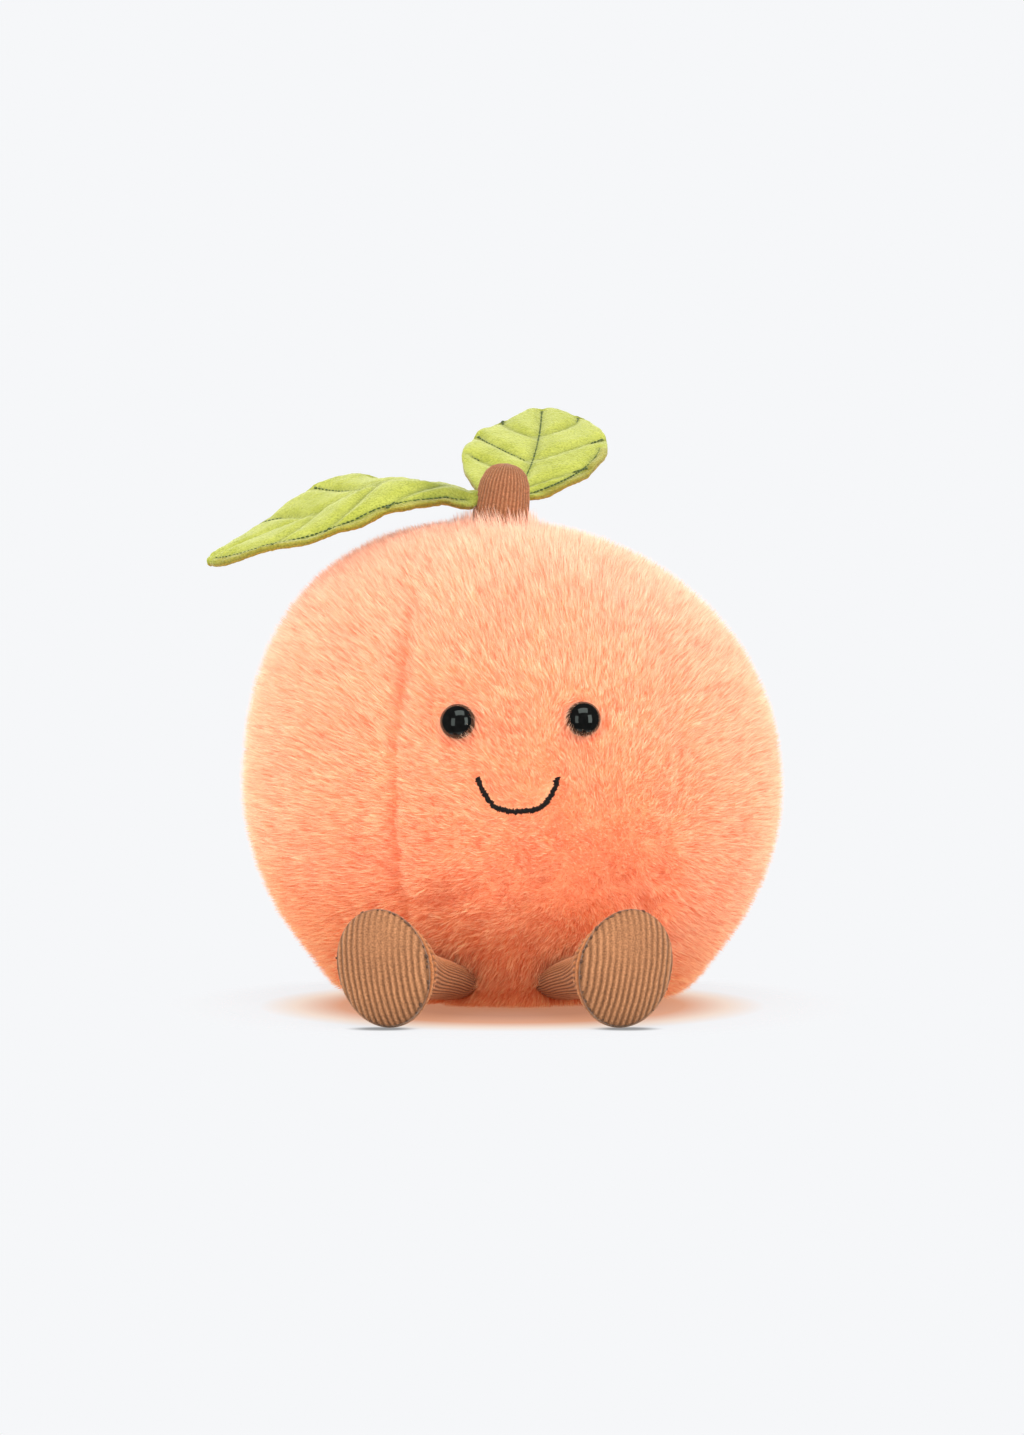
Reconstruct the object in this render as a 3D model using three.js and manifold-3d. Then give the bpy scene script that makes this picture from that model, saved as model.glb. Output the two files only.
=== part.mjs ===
// Plush peach toy. Millimetres, +Z up, the toy faces -Y and sits on its base panel at z = 0.
import * as THREE from 'three';
import { mergeVertices } from 'three/addons/utils/BufferGeometryUtils.js';
import Module from 'manifold-3d';

const wasm = await Module();
wasm.setup();

// ---------------------------------------------------------------- driving dimensions
const GAP = 0.3; // between pieces that touch
const BODY = {
  radius: 74.5, // to the tips of the pile
  waist: 55.9, // height of the widest girth
  upper: 75, // rise from the waist to the crown
  lower: 73, // drop from the waist, cut short by the flat base
  upperPower: 2.18,
  lowerPower: 1.88,
  lean: -7.4, // sideways set of the crown
  corner: 5, // softness of the turn into the flat base
};
const COVER = { thickness: 7, groove: 1.5, grooveWidth: 5, baseRadius: 38, crownRadius: 2.6 };
const STUFFING_DEPTH = COVER.thickness + GAP;

// Upright seams of the six gores: azimuth in degrees at the waist, and drift per degree of latitude.
const UPRIGHT_SEAMS = [
  { azimuth: -25.5, drift: 0.03 },
  { azimuth: 38.2, drift: 0.15 },
  { azimuth: 97.5, drift: 0 },
  { azimuth: 156.7, drift: 0 },
  { azimuth: 216, drift: 0 },
  { azimuth: 275.3, drift: 0 },
];
// The arched seam between the face panel and the belly panel, in degrees of latitude.
const ARCH = { low: -24, rise: 6, centre: 8, halfSpan: 34 };

const EYE = { radius: 5.2, proud: 2.4, seat: -5.7, shankRadius: 1.3, shankEnd: -12 };
const EYES = { left: { azimuth: -11.1, latitude: 15.7 }, right: { azimuth: 16, latitude: 16.2 } };
const WASHER = { radius: 5.5, thickness: 1.2, setBack: 0.7 };
const MOUTH = { centre: 1.3, halfSpan: 8.1, low: -1.1, rise: 5.9, power: 3, halfWidth: 0.8, depth: 0.9 };

const POUCH = { radius: 25, height: 12 };

const STEM = { foot: [-3.7, 0, 124], top: [-0.8, 0, 145.6], wall: 1.1 };
// Along the stem: share of its length, half width.
const STEM_PROFILE = [[0, 8], [0.3, 7.7], [0.55, 7.4], [0.75, 6.8], [0.88, 5.6], [0.95, 4.1], [0.99, 2]];

const SOLE = { halfWidth: 12.2, halfHeight: 15.6, puff: 4.6, wall: 1.2 };
const LEGS = {
  left: { hip: [-21, -50, 8.8], sole: [-33, -90, 15.5], roll: -22 },
  right: { hip: [18, -50, 8.8], sole: [29.2, -90, 15.5], roll: 22 },
};
// Along the leg: share of its length, half width, half height.
const LEG_PROFILE = [
  [-0.12, 11.4, 5], [0.15, 11.4, 5.6], [0.5, 11.4, 6.6], [0.76, 11.9, 8], [0.87, 12.8, 12.4], [0.93, 13.4, 15.2],
  [1, 12.2, 15.6],
];

const LEAF = { layer: 1.6, halfWidth: 20, rootHalf: 3, tipHalf: 0.8, fullness: 0.65, thread: 0.5 };
// Stations of each leaf: share of its length, midrib point, and the rise of its two halves per mm
// of half width (near half first). The left leaf arches down to its tip, the right one climbs back.
const LEAVES = {
  left: {
    across: [0, 1, 0],
    stations: [
      { at: 0, mid: [-8, 0, 135.8], rise: [-1.1, -0.5] },
      { at: 0.12, mid: [-18, 0, 138.9], rise: [-0.45, -0.35] },
      { at: 0.32, mid: [-34, 0, 139.7], rise: [-0.46, -0.05] },
      { at: 0.45, mid: [-43, 0, 136.2], rise: [-0.43, 0.29] },
      { at: 0.6, mid: [-54, 0, 130.4], rise: [-0.31, 0.51] },
      { at: 0.78, mid: [-67, 0, 124.9], rise: [-0.2, 0.36] },
      { at: 1, mid: [-83, 0, 118.6], rise: [-0.3, 0.1] },
    ],
  },
  right: {
    across: [1, 0, 0.05],
    stations: [
      { at: 0, mid: [-1, 6, 134.5], rise: [0.02, 0] },
      { at: 0.25, mid: [4, 22, 141.3], rise: [0.04, 0] },
      { at: 0.5, mid: [6.7, 38, 148.4], rise: [0.06, -0.02] },
      { at: 0.75, mid: [8, 55, 154.6], rise: [0.04, -0.05] },
      { at: 1, mid: [8.6, 71, 160], rise: [0, 0] },
    ],
  },
};
// Side veins: where each leaves the midrib, how far along it ends, and which half it is on.
const VEINS = [
  { from: 0.1, to: 0.32, side: -1 }, { from: 0.33, to: 0.56, side: -1 }, { from: 0.56, to: 0.76, side: -1 },
  { from: 0.16, to: 0.4, side: 1 }, { from: 0.4, to: 0.62, side: 1 }, { from: 0.62, to: 0.8, side: 1 },
];

const COLOURS = {
  pile: 0xf7a27a, belly: 0xef7d53, cord: 0xb5814f, bark: 0xb8784d, leaf: 0xbfd04c, underleaf: 0xa9b23a,
  vein: 0x3d5a1c, bead: 0x0b0b0c, thread: 0x1a1614, filling: 0xf1eee6, pouch: 0xd8d4c8, washer: 0xe9e9e6,
};

// ---------------------------------------------------------------- small helpers
const rad = THREE.MathUtils.degToRad;
const vec = (p) => new THREE.Vector3(...p);
const smooth = (t) => t * t * (3 - 2 * t);

/** Value at x on a list of [x, a, b, ...] rows, eased between the rows. */
function profileAt(rows, x) {
  let i = 0;
  while (i < rows.length - 2 && x > rows[i + 1][0]) i += 1;
  const t = THREE.MathUtils.clamp((x - rows[i][0]) / (rows[i + 1][0] - rows[i][0]), 0, 1);
  return rows[i].slice(1).map((value, k) => THREE.MathUtils.lerp(value, rows[i + 1][k + 1], t));
}

/** Indexed geometry from points and triangles, turned outwards if it came out inside out. */
function solid(points, triangles) {
  let volume = 0;
  for (const [a, b, c] of triangles) volume += points[a].dot(points[b].clone().cross(points[c]));
  const geometry = new THREE.BufferGeometry().setFromPoints(points);
  geometry.setIndex(triangles.flatMap(([a, b, c]) => (volume > 0 ? [a, b, c] : [a, c, b])));
  return geometry;
}

/** Closed slab between two sheets: sheet(u, v, face) with u, v in 0..1 and face 0 outside, 1 inside. */
function slab(sheet, columns, rows) {
  const points = [];
  const triangles = [];
  const at = (i, j, face) => (face * (rows + 1) + j) * (columns + 1) + i;
  for (const face of [0, 1])
    for (let j = 0; j <= rows; j += 1)
      for (let i = 0; i <= columns; i += 1) points.push(sheet(i / columns, j / rows, face));
  const quad = (a, b, c, d) => triangles.push([a, b, c], [a, c, d]);
  for (let j = 0; j < rows; j += 1)
    for (let i = 0; i < columns; i += 1) {
      quad(at(i, j, 0), at(i + 1, j, 0), at(i + 1, j + 1, 0), at(i, j + 1, 0));
      quad(at(i, j, 1), at(i, j + 1, 1), at(i + 1, j + 1, 1), at(i + 1, j, 1));
    }
  for (let i = 0; i < columns; i += 1) {
    quad(at(i, 0, 0), at(i, 0, 1), at(i + 1, 0, 1), at(i + 1, 0, 0));
    quad(at(i, rows, 0), at(i + 1, rows, 0), at(i + 1, rows, 1), at(i, rows, 1));
  }
  for (let j = 0; j < rows; j += 1) {
    quad(at(0, j, 0), at(0, j + 1, 0), at(0, j + 1, 1), at(0, j, 1));
    quad(at(columns, j, 0), at(columns, j, 1), at(columns, j + 1, 1), at(columns, j + 1, 0));
  }
  return solid(points, triangles);
}

/** Closed solid through rings of equal count. A looped one joins its last ring to its first. */
function loft(rings, looped = false) {
  const sides = rings[0].length;
  const points = rings.flat();
  const triangles = [];
  const count = rings.length;
  for (let k = 0; k < (looped ? count : count - 1); k += 1)
    for (let i = 0; i < sides; i += 1) {
      const [a, b] = [k * sides + i, k * sides + ((i + 1) % sides)];
      const [c, d] = [((k + 1) % count) * sides + i, ((k + 1) % count) * sides + ((i + 1) % sides)];
      triangles.push([a, b, d], [a, d, c]);
    }
  if (!looped)
    for (const [ring, flip] of [[0, true], [count - 1, false]]) {
      const middle = rings[ring].reduce((sum, p) => sum.add(p), new THREE.Vector3()).divideScalar(sides);
      const hub = points.push(middle) - 1;
      for (let i = 0; i < sides; i += 1) {
        const [a, b] = [ring * sides + i, ring * sides + ((i + 1) % sides)];
        triangles.push(flip ? [hub, b, a] : [hub, a, b]);
      }
    }
  return solid(points, triangles);
}

function toManifold(geometry) {
  const bare = geometry.clone();
  bare.deleteAttribute('normal');
  bare.deleteAttribute('uv');
  const merged = mergeVertices(bare, 1e-4);
  return new wasm.Manifold(new wasm.Mesh({
    numProp: 3,
    vertProperties: new Float32Array(merged.attributes.position.array),
    triVerts: new Uint32Array(merged.index.array),
  }));
}

function fromManifold(shape) {
  const mesh = shape.getMesh();
  const geometry = new THREE.BufferGeometry();
  geometry.setAttribute('position', new THREE.BufferAttribute(new Float32Array(mesh.vertProperties), 3));
  geometry.setIndex(new THREE.BufferAttribute(new Uint32Array(mesh.triVerts), 1));
  return geometry;
}

/** The first solid with the others cut out of it. */
function cut(blank, ...tools) {
  const shape = tools.reduce((left, tool) => left.subtract(toManifold(tool)), toManifold(blank));
  return fromManifold(shape);
}

const group = new THREE.Group();
group.name = 'plush_peach_toy';

function add(name, geometry, colour, roughness = 0.9) {
  const bare = geometry.clone();
  bare.deleteAttribute('uv');
  bare.deleteAttribute('normal');
  const shaded = bare.index ? bare : mergeVertices(bare, 1e-4);
  shaded.computeVertexNormals();
  const mesh = new THREE.Mesh(shaded, new THREE.MeshStandardMaterial({ color: colour, roughness }));
  mesh.name = name;
  group.add(mesh);
  return mesh;
}

// ---------------------------------------------------------------- the body's form
/** Azimuth in radians of an upright seam at a latitude in degrees. */
const seamAzimuth = (seam, latitude) => rad(seam.azimuth + seam.drift * latitude);

/** Latitude of the arched seam at an azimuth in degrees. */
function archLatitude(azimuth) {
  const turn = THREE.MathUtils.clamp((azimuth - ARCH.centre) / ARCH.halfSpan, -1, 1);
  return ARCH.low + ARCH.rise * Math.cos((turn * Math.PI) / 2) ** 2;
}

/** The smooth egg of the body before its seams pull in. Azimuth 0 faces -Y. */
function eggPoint(azimuth, latitude) {
  const angle = rad(latitude);
  const [height, power] = latitude > 0 ? [BODY.upper, BODY.upperPower] : [BODY.lower, BODY.lowerPower];
  const share = Math.sign(angle) * Math.abs(Math.sin(angle)) ** (2 / power);
  const radius = BODY.radius * Math.abs(Math.cos(angle)) ** (2 / power);
  let z = BODY.waist + height * share;
  const corner = BODY.corner;
  if (z < -corner) z = 0;
  else if (z < corner) z = (z + corner) ** 2 / (4 * corner);
  const lean = latitude > 0 ? BODY.lean * share * share : 0;
  return new THREE.Vector3(radius * Math.sin(azimuth) + lean, -radius * Math.cos(azimuth), z);
}

function bodyNormal(azimuth, latitude) {
  const step = 0.02;
  const low = THREE.MathUtils.clamp(latitude, -89, 88);
  const alongAzimuth = eggPoint(azimuth + step, low).sub(eggPoint(azimuth - step, low));
  const alongLatitude = eggPoint(azimuth, low + 0.4).sub(eggPoint(azimuth, low - 0.4));
  return alongAzimuth.cross(alongLatitude).normalize();
}

/** How far the seams pull the cover in at a point, in mm. */
function seamPull(azimuth, latitude) {
  const girth = Math.hypot(eggPoint(0, latitude).y, 1);
  let nearest = Infinity;
  for (const seam of UPRIGHT_SEAMS) {
    const turn = Math.abs(Math.atan2(
      Math.sin(azimuth - seamAzimuth(seam, latitude)), Math.cos(azimuth - seamAzimuth(seam, latitude))));
    nearest = Math.min(nearest, turn * girth);
  }
  return COVER.groove * Math.exp(-((nearest / COVER.grooveWidth) ** 2));
}

/** Point of the body at a depth under the tips of its pile. */
function bodyPoint(azimuth, latitude, depth = 0) {
  const pull = seamPull(azimuth, latitude) * smooth(THREE.MathUtils.clamp((latitude + 50) / 20, 0, 1));
  return eggPoint(azimuth, latitude).addScaledVector(bodyNormal(azimuth, latitude), -(depth + pull));
}

/** Closed solid of the egg at a depth under the pile, or grown if the depth is negative. */
function eggSolid(depth, sides, rows) {
  const rings = [];
  for (let k = 0; k < rows; k += 1) {
    const latitude = THREE.MathUtils.lerp(-80, 87.5, k / (rows - 1));
    rings.push(Array.from({ length: sides }, (_, i) => {
      const azimuth = (i / sides) * 2 * Math.PI;
      return eggPoint(azimuth, latitude).addScaledVector(bodyNormal(azimuth, latitude), -depth);
    }));
  }
  return loft(rings);
}

const bodyFrame = (spot) => {
  const azimuth = rad(spot.azimuth);
  const normal = bodyNormal(azimuth, spot.latitude);
  return { origin: bodyPoint(azimuth, spot.latitude), normal };
};

const clearOfBody = eggSolid(-GAP, 48, 28);

// ---------------------------------------------------------------- cover panels
/** Latitude at which the egg has a given radius, below or above the waist. */
function latitudeOfRadius(radius, sign) {
  const power = sign > 0 ? BODY.upperPower : BODY.lowerPower;
  return sign * THREE.MathUtils.radToDeg(Math.acos((radius / BODY.radius) ** (power / 2)));
}
const crownLatitude = latitudeOfRadius(COVER.crownRadius, 1);
const baseLatitude = latitudeOfRadius(COVER.baseRadius, -1);

/** One furry panel between two upright seams, and between two latitudes that may follow the arch. */
function panel(leftSeam, rightSeam, lowLatitude, highLatitude, columns, rows) {
  const sheet = (u, v, face) => {
    const guess = THREE.MathUtils.lerp(lowLatitude(0), highLatitude(0), v);
    const spread = (latitude) => {
      const from = seamAzimuth(leftSeam, latitude);
      let to = seamAzimuth(rightSeam, latitude);
      if (to < from) to += 2 * Math.PI;
      const inset = GAP / 2 / Math.max(Math.abs(eggPoint(0, latitude).y), 2);
      return THREE.MathUtils.lerp(from + inset, to - inset, u);
    };
    let azimuth = spread(guess);
    const degrees = THREE.MathUtils.radToDeg(azimuth);
    const latitude = THREE.MathUtils.lerp(lowLatitude(degrees), highLatitude(degrees), v);
    azimuth = spread(latitude);
    return bodyPoint(azimuth, latitude, face * COVER.thickness);
  };
  return slab(sheet, columns, rows);
}

const gapInDegrees = THREE.MathUtils.radToDeg(GAP / 2 / BODY.radius);
const crown = () => crownLatitude;
const base = () => baseLatitude;
const aboveArch = (azimuth) => archLatitude(azimuth) + gapInDegrees;
const belowArch = (azimuth) => archLatitude(azimuth) - gapInDegrees;

const [seamA, seamB, seamC, seamD, seamE, seamF] = UPRIGHT_SEAMS;

// ---------------------------------------------------------------- eyes
/** A turned piece whose axis is the body's outward direction at a spot. */
function turnedAt(spot, profile, segments) {
  const { origin, normal } = bodyFrame(spot);
  const geometry = new THREE.LatheGeometry(profile.map(([x, y]) => new THREE.Vector2(x, y)), segments);
  const turn = new THREE.Quaternion().setFromUnitVectors(new THREE.Vector3(0, 1, 0), normal);
  return geometry.applyQuaternion(turn).translate(origin.x, origin.y, origin.z);
}

function eyeProfile(grow) {
  const { radius, proud, seat, shankRadius, shankEnd } = EYE;
  const dome = [];
  const middle = proud - radius * 0.86;
  for (let k = 0; k <= 5; k += 1) {
    const angle = (k / 6) * (Math.PI / 2);
    dome.push([(radius + grow) * Math.cos(angle), middle + (radius * 0.86 + grow) * Math.sin(angle)]);
  }
  return [[0, shankEnd - grow], [shankRadius + grow, shankEnd - grow], [shankRadius + grow, seat - grow],
    [radius + grow, seat - grow], ...dome, [0, proud + grow]];
}

function eyePocket(spot) {
  const { radius, seat, shankRadius } = EYE;
  const profile = [[0, -COVER.thickness - 3], [shankRadius + GAP, -COVER.thickness - 3],
    [shankRadius + GAP, seat - GAP], [radius + GAP, seat - GAP], [radius + GAP, 4], [0, 4]];
  return turnedAt(spot, profile, 16);
}

function washerProfile(grow) {
  const front = -COVER.thickness - WASHER.setBack;
  const back = front - WASHER.thickness;
  const bore = EYE.shankRadius + GAP;
  return [[bore, back], [WASHER.radius + grow, back], [WASHER.radius + grow, front], [bore, front], [bore, back]];
}

// ---------------------------------------------------------------- mouth
const mouthLatitude = (turn) => MOUTH.low + MOUTH.rise * Math.abs(turn) ** MOUTH.power;

/** The stitched smile as a closed bar, grown on every side for its groove. */
function mouthBar(grow, sides, steps) {
  const place = (t) => {
    const turn = THREE.MathUtils.lerp(-1, 1, t);
    return { azimuth: rad(MOUTH.centre + turn * MOUTH.halfSpan), latitude: mouthLatitude(turn) };
  };
  const rings = [];
  const reach = grow / 25;
  for (let k = 0; k <= steps; k += 1) {
    const t = THREE.MathUtils.lerp(-reach, 1 + reach, k / steps);
    const here = place(t);
    const [before, after] = [place(t - 0.01), place(t + 0.01)];
    const normal = bodyNormal(here.azimuth, here.latitude);
    const along = bodyPoint(after.azimuth, after.latitude).sub(bodyPoint(before.azimuth, before.latitude));
    const across = along.cross(normal).normalize();
    const middle = bodyPoint(here.azimuth, here.latitude, 0.35);
    rings.push(Array.from({ length: sides }, (_, i) => {
      const angle = (i / sides) * 2 * Math.PI;
      return middle.clone()
        .addScaledVector(across, (MOUTH.halfWidth + grow) * Math.cos(angle))
        .addScaledVector(normal, (MOUTH.depth + grow) * Math.sin(angle));
    }));
  }
  return loft(rings);
}

// ---------------------------------------------------------------- body pieces
const facePanel = cut(
  panel(seamA, seamB, aboveArch, crown, 12, 16),
  eyePocket(EYES.left), eyePocket(EYES.right), mouthBar(GAP, 6, 12),
);
add('panel_face', facePanel, COLOURS.pile, 1);
add('panel_side_right', panel(seamB, seamC, base, crown, 8, 16), COLOURS.pile, 1);
add('panel_back_right', panel(seamC, seamD, base, crown, 8, 16), COLOURS.pile, 1);
add('panel_back_middle', panel(seamD, seamE, base, crown, 8, 16), COLOURS.pile, 1);
add('panel_back_left', panel(seamE, seamF, base, crown, 8, 16), COLOURS.pile, 1);
add('panel_side_left', panel(seamF, seamA, base, crown, 8, 16), COLOURS.pile, 1);
add('panel_belly', panel(seamA, seamB, base, belowArch, 10, 6), COLOURS.belly, 1);

const baseRim = COVER.baseRadius - GAP;
add('panel_base', new THREE.CylinderGeometry(baseRim, baseRim, COVER.thickness, 40)
  .rotateX(Math.PI / 2).translate(0, 0, COVER.thickness / 2), COLOURS.belly, 1);

/** Weighted bag on the inside of the base panel: flat below, domed above. */
function pouchSolid(grow, drop) {
  const floor = STUFFING_DEPTH - drop;
  const profile = [[0, floor], [POUCH.radius - 3 + grow, floor], [POUCH.radius + grow, STUFFING_DEPTH + 3]];
  for (let k = 1; k <= 4; k += 1) {
    const angle = (k / 5) * (Math.PI / 2);
    profile.push([(POUCH.radius + grow) * Math.cos(angle),
      STUFFING_DEPTH + 3 + (POUCH.height - 3 + grow) * Math.sin(angle)]);
  }
  profile.push([0, STUFFING_DEPTH + POUCH.height + grow]);
  return new THREE.LatheGeometry(profile.map(([x, y]) => new THREE.Vector2(x, y)), 20).rotateX(Math.PI / 2);
}
add('pellet_pouch', pouchSolid(0, 0), COLOURS.pouch);

/** Room in the stuffing behind one eye for its washer and the end of its shank. */
function washerPocket(spot) {
  const floor = -COVER.thickness - WASHER.setBack - WASHER.thickness - GAP;
  const profile = [[0, EYE.shankEnd - GAP], [EYE.shankRadius + GAP, EYE.shankEnd - GAP],
    [EYE.shankRadius + GAP, floor], [WASHER.radius + GAP, floor], [WASHER.radius + GAP, 2], [0, 2]];
  return turnedAt(spot, profile, 16);
}
add('stuffing_body', cut(
  eggSolid(STUFFING_DEPTH + COVER.groove, 24, 13), pouchSolid(GAP, 3), washerPocket(EYES.left), washerPocket(EYES.right),
), COLOURS.filling, 1);

for (const [side, spot] of Object.entries(EYES)) {
  add(`eye_${side}`, turnedAt(spot, eyeProfile(0), 16), COLOURS.bead, 0.08);
  add(`washer_${side}`, turnedAt(spot, washerProfile(0), 16), COLOURS.washer, 0.5);
}
add('mouth_stitch', mouthBar(0, 6, 12), COLOURS.thread, 0.7);

// ---------------------------------------------------------------- stem
/** The stem's form with its wall taken off, closed at its rounded top. */
function stemSolid(inset, sides) {
  const [foot, top] = [vec(STEM.foot), vec(STEM.top)];
  const axis = top.clone().sub(foot);
  const length = axis.length();
  axis.normalize();
  const across = new THREE.Vector3(0, 1, 0).cross(axis).normalize();
  const back = axis.clone().cross(across);
  return loft(STEM_PROFILE.map(([share, halfWidth]) => {
    const middle = foot.clone().addScaledVector(axis, share * length - (share > 0.6 ? inset : 0));
    const radius = Math.max(halfWidth - inset, 0.4);
    return Array.from({ length: sides }, (_, i) => {
      const angle = (i / sides) * 2 * Math.PI;
      return middle.clone().addScaledVector(across, radius * Math.cos(angle))
        .addScaledVector(back, radius * Math.sin(angle));
    });
  }));
}
add('stem_cover', cut(stemSolid(0, 16), stemSolid(STEM.wall, 16), clearOfBody), COLOURS.bark);
add('stem_filling', cut(stemSolid(STEM.wall + GAP, 12), clearOfBody), COLOURS.filling);

// ---------------------------------------------------------------- legs
/** Frame of a leg: where its hip and sole are, its axis, and the two directions across it. */
function legFrame(leg) {
  const [hip, sole] = [vec(leg.hip), vec(leg.sole)];
  const axis = sole.clone().sub(hip).normalize();
  const level = new THREE.Vector3(0, 0, 1);
  const across = axis.clone().cross(level).normalize();
  const upright = across.clone().cross(axis);
  return { hip, sole, axis, across, upright };
}

/** Ring of a leg's section, rolled about the leg as the sole is. */
function legRing(leg, middle, halfWidth, halfHeight, roll, sides) {
  const { across, upright } = legFrame(leg);
  return Array.from({ length: sides }, (_, i) => {
    const angle = (i / sides) * 2 * Math.PI;
    const [x, y] = [halfWidth * Math.cos(angle), halfHeight * Math.sin(angle)];
    const [c, s] = [Math.cos(rad(roll)), Math.sin(rad(roll))];
    return middle.clone().addScaledVector(across, x * c - y * s).addScaledVector(upright, x * s + y * c);
  });
}

function legRings(leg, inset, sides) {
  const { hip, sole } = legFrame(leg);
  return LEG_PROFILE.map(([share, halfWidth, halfHeight]) => legRing(
    leg, hip.clone().lerp(sole, share), halfWidth - inset, halfHeight - inset,
    leg.roll * THREE.MathUtils.clamp(share, 0, 1), sides));
}

/** Rings of the puffed sole from its seam to near its middle, at a distance inside its outer face. */
function soleRings(leg, inset, sides, steps) {
  const { sole, axis } = legFrame(leg);
  const rings = [];
  for (let k = 0; k < steps; k += 1) {
    const angle = (k / steps) * (Math.PI / 2);
    const share = Math.cos(angle) ** 0.8;
    const rise = GAP + (SOLE.puff - inset) * Math.sin(angle);
    rings.push(legRing(leg, sole.clone().addScaledVector(axis, rise),
      (SOLE.halfWidth - inset) * share, (SOLE.halfHeight - inset) * share, leg.roll, sides));
  }
  return rings;
}

for (const [side, leg] of Object.entries(LEGS)) {
  const sides = 18;
  const cover = loft([...legRings(leg, 0, sides), ...legRings(leg, SOLE.wall, sides).reverse()], true);
  add(`leg_${side}_cover`, cut(cover, clearOfBody), COLOURS.cord);
  const shell = loft([...soleRings(leg, SOLE.wall, sides, 4).reverse(), ...soleRings(leg, 0, sides, 5)]);
  add(`leg_${side}_sole`, shell, COLOURS.cord);
  const filling = loft([
    ...legRings(leg, SOLE.wall + 2 * GAP, sides), ...soleRings(leg, SOLE.wall + 2 * GAP, sides, 4).slice(1),
  ]);
  add(`leg_${side}_filling`, cut(filling, clearOfBody), COLOURS.filling);
}

// ---------------------------------------------------------------- leaves
function leafHalfWidth(share) {
  const blade = LEAF.halfWidth * Math.max(Math.sin(Math.PI * share), 0) ** LEAF.fullness;
  return Math.max(blade, share < 0.5 ? LEAF.rootHalf : LEAF.tipHalf);
}

/** Point of a leaf's middle sheet: share of its length, and -1..1 from its near to its far edge. */
function leafPoint(leaf, share, side) {
  const rows = leaf.stations.map(({ at, mid, rise }) => [at, ...mid, ...rise]);
  const curve = new THREE.CatmullRomCurve3(leaf.stations.map(({ mid }) => vec(mid)), false, 'centripetal');
  const stations = leaf.stations;
  let i = 0;
  while (i < stations.length - 2 && share > stations[i + 1].at) i += 1;
  const local = (share - stations[i].at) / (stations[i + 1].at - stations[i].at);
  const middle = curve.getPoint(THREE.MathUtils.clamp((i + local) / (stations.length - 1), 0, 1));
  const [, , , near, far] = profileAt(rows, share);
  const slope = side < 0 ? near : far;
  const run = leafHalfWidth(share) / Math.hypot(1, slope);
  const soft = Math.abs(side) ** 1.25;
  return middle.addScaledVector(vec(leaf.across), side * run)
    .add(new THREE.Vector3(0, 0, slope * run * soft));
}

function leafNormal(leaf, share, side) {
  const step = 0.02;
  const low = THREE.MathUtils.clamp(share, 0.04, 0.96);
  const along = leafPoint(leaf, low + step, side).sub(leafPoint(leaf, low - step, side));
  const edge = THREE.MathUtils.clamp(side, -0.9, 0.9);
  const over = leafPoint(leaf, low, edge + 0.1).sub(leafPoint(leaf, low, edge - 0.1));
  const normal = along.cross(over).normalize();
  return normal.z < 0 ? normal.negate() : normal;
}

const leafRaised = (leaf, share, side, rise) =>
  leafPoint(leaf, share, side).addScaledVector(leafNormal(leaf, share, side), rise);

/** One cloth layer of a leaf between two heights over its middle sheet. */
function leafLayer(leaf, high, low) {
  return slab((u, v, face) => leafRaised(leaf, v, u * 2 - 1, face ? low : high), 6, 12);
}

/** A stitched line on a leaf as a closed bar through (share, side) places. */
function leafThread(leaf, places, halfWidth, grow) {
  const height = GAP / 2 + LEAF.layer;
  const sides = 5;
  const rings = places.map(([share, side], k) => {
    const normal = leafNormal(leaf, share, side);
    const [before, after] = [places[Math.max(k - 1, 0)], places[Math.min(k + 1, places.length - 1)]];
    const along = leafPoint(leaf, ...after).sub(leafPoint(leaf, ...before)).normalize();
    const across = along.clone().cross(normal).normalize();
    const middle = leafRaised(leaf, share, side, height);
    if (k === 0) middle.addScaledVector(along, -grow);
    if (k === places.length - 1) middle.addScaledVector(along, grow);
    return Array.from({ length: sides }, (_, i) => {
      const angle = (i / sides) * 2 * Math.PI;
      return middle.clone().addScaledVector(across, (halfWidth + grow) * Math.cos(angle))
        .addScaledVector(normal, (0.45 + grow) * Math.sin(angle));
    });
  });
  return loft(rings);
}

/** The midrib and side veins of a leaf joined as one net of thread. */
function leafNet(leaf, grow) {
  const midrib = Array.from({ length: 9 }, (_, k) => [THREE.MathUtils.lerp(0.1, 0.97, k / 8), 0]);
  let net = toManifold(leafThread(leaf, midrib, LEAF.thread, grow));
  for (const vein of VEINS) {
    const places = Array.from({ length: 3 }, (_, k) => {
      const t = k / 2;
      return [THREE.MathUtils.lerp(vein.from, vein.to, t ** 1.2), vein.side * 0.93 * t];
    });
    net = net.add(toManifold(leafThread(leaf, places, LEAF.thread * 0.8, grow)));
  }
  return fromManifold(net);
}

const clearOfStem = stemSolid(-GAP, 16);
for (const [side, leaf] of Object.entries(LEAVES)) {
  const top = cut(leafLayer(leaf, GAP / 2 + LEAF.layer, GAP / 2), leafNet(leaf, GAP), clearOfStem, clearOfBody);
  const under = cut(leafLayer(leaf, -GAP / 2, -GAP / 2 - LEAF.layer), clearOfStem, clearOfBody);
  add(`leaf_${side}_top`, top, COLOURS.leaf);
  add(`leaf_${side}_under`, under, COLOURS.underleaf);
  add(`leaf_${side}_veins`, cut(leafNet(leaf, 0), clearOfStem), COLOURS.vein);
}

export default group;
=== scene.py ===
"""Plush peach toy: a stuffed fur peach with a smiling face, needlecord feet and stem, and two leaves.

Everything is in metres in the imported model's frame: +Z is up, the face looks along -Y and the base
rests at z = 0.
"""

import logging
import math
from collections.abc import Callable, Sequence
from dataclasses import dataclass, field
from enum import Enum

import bmesh
import bpy
import numpy as np
from bpy.types import Material, Mesh, Node, NodeSocket, Object
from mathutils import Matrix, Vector, kdtree, noise


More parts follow.
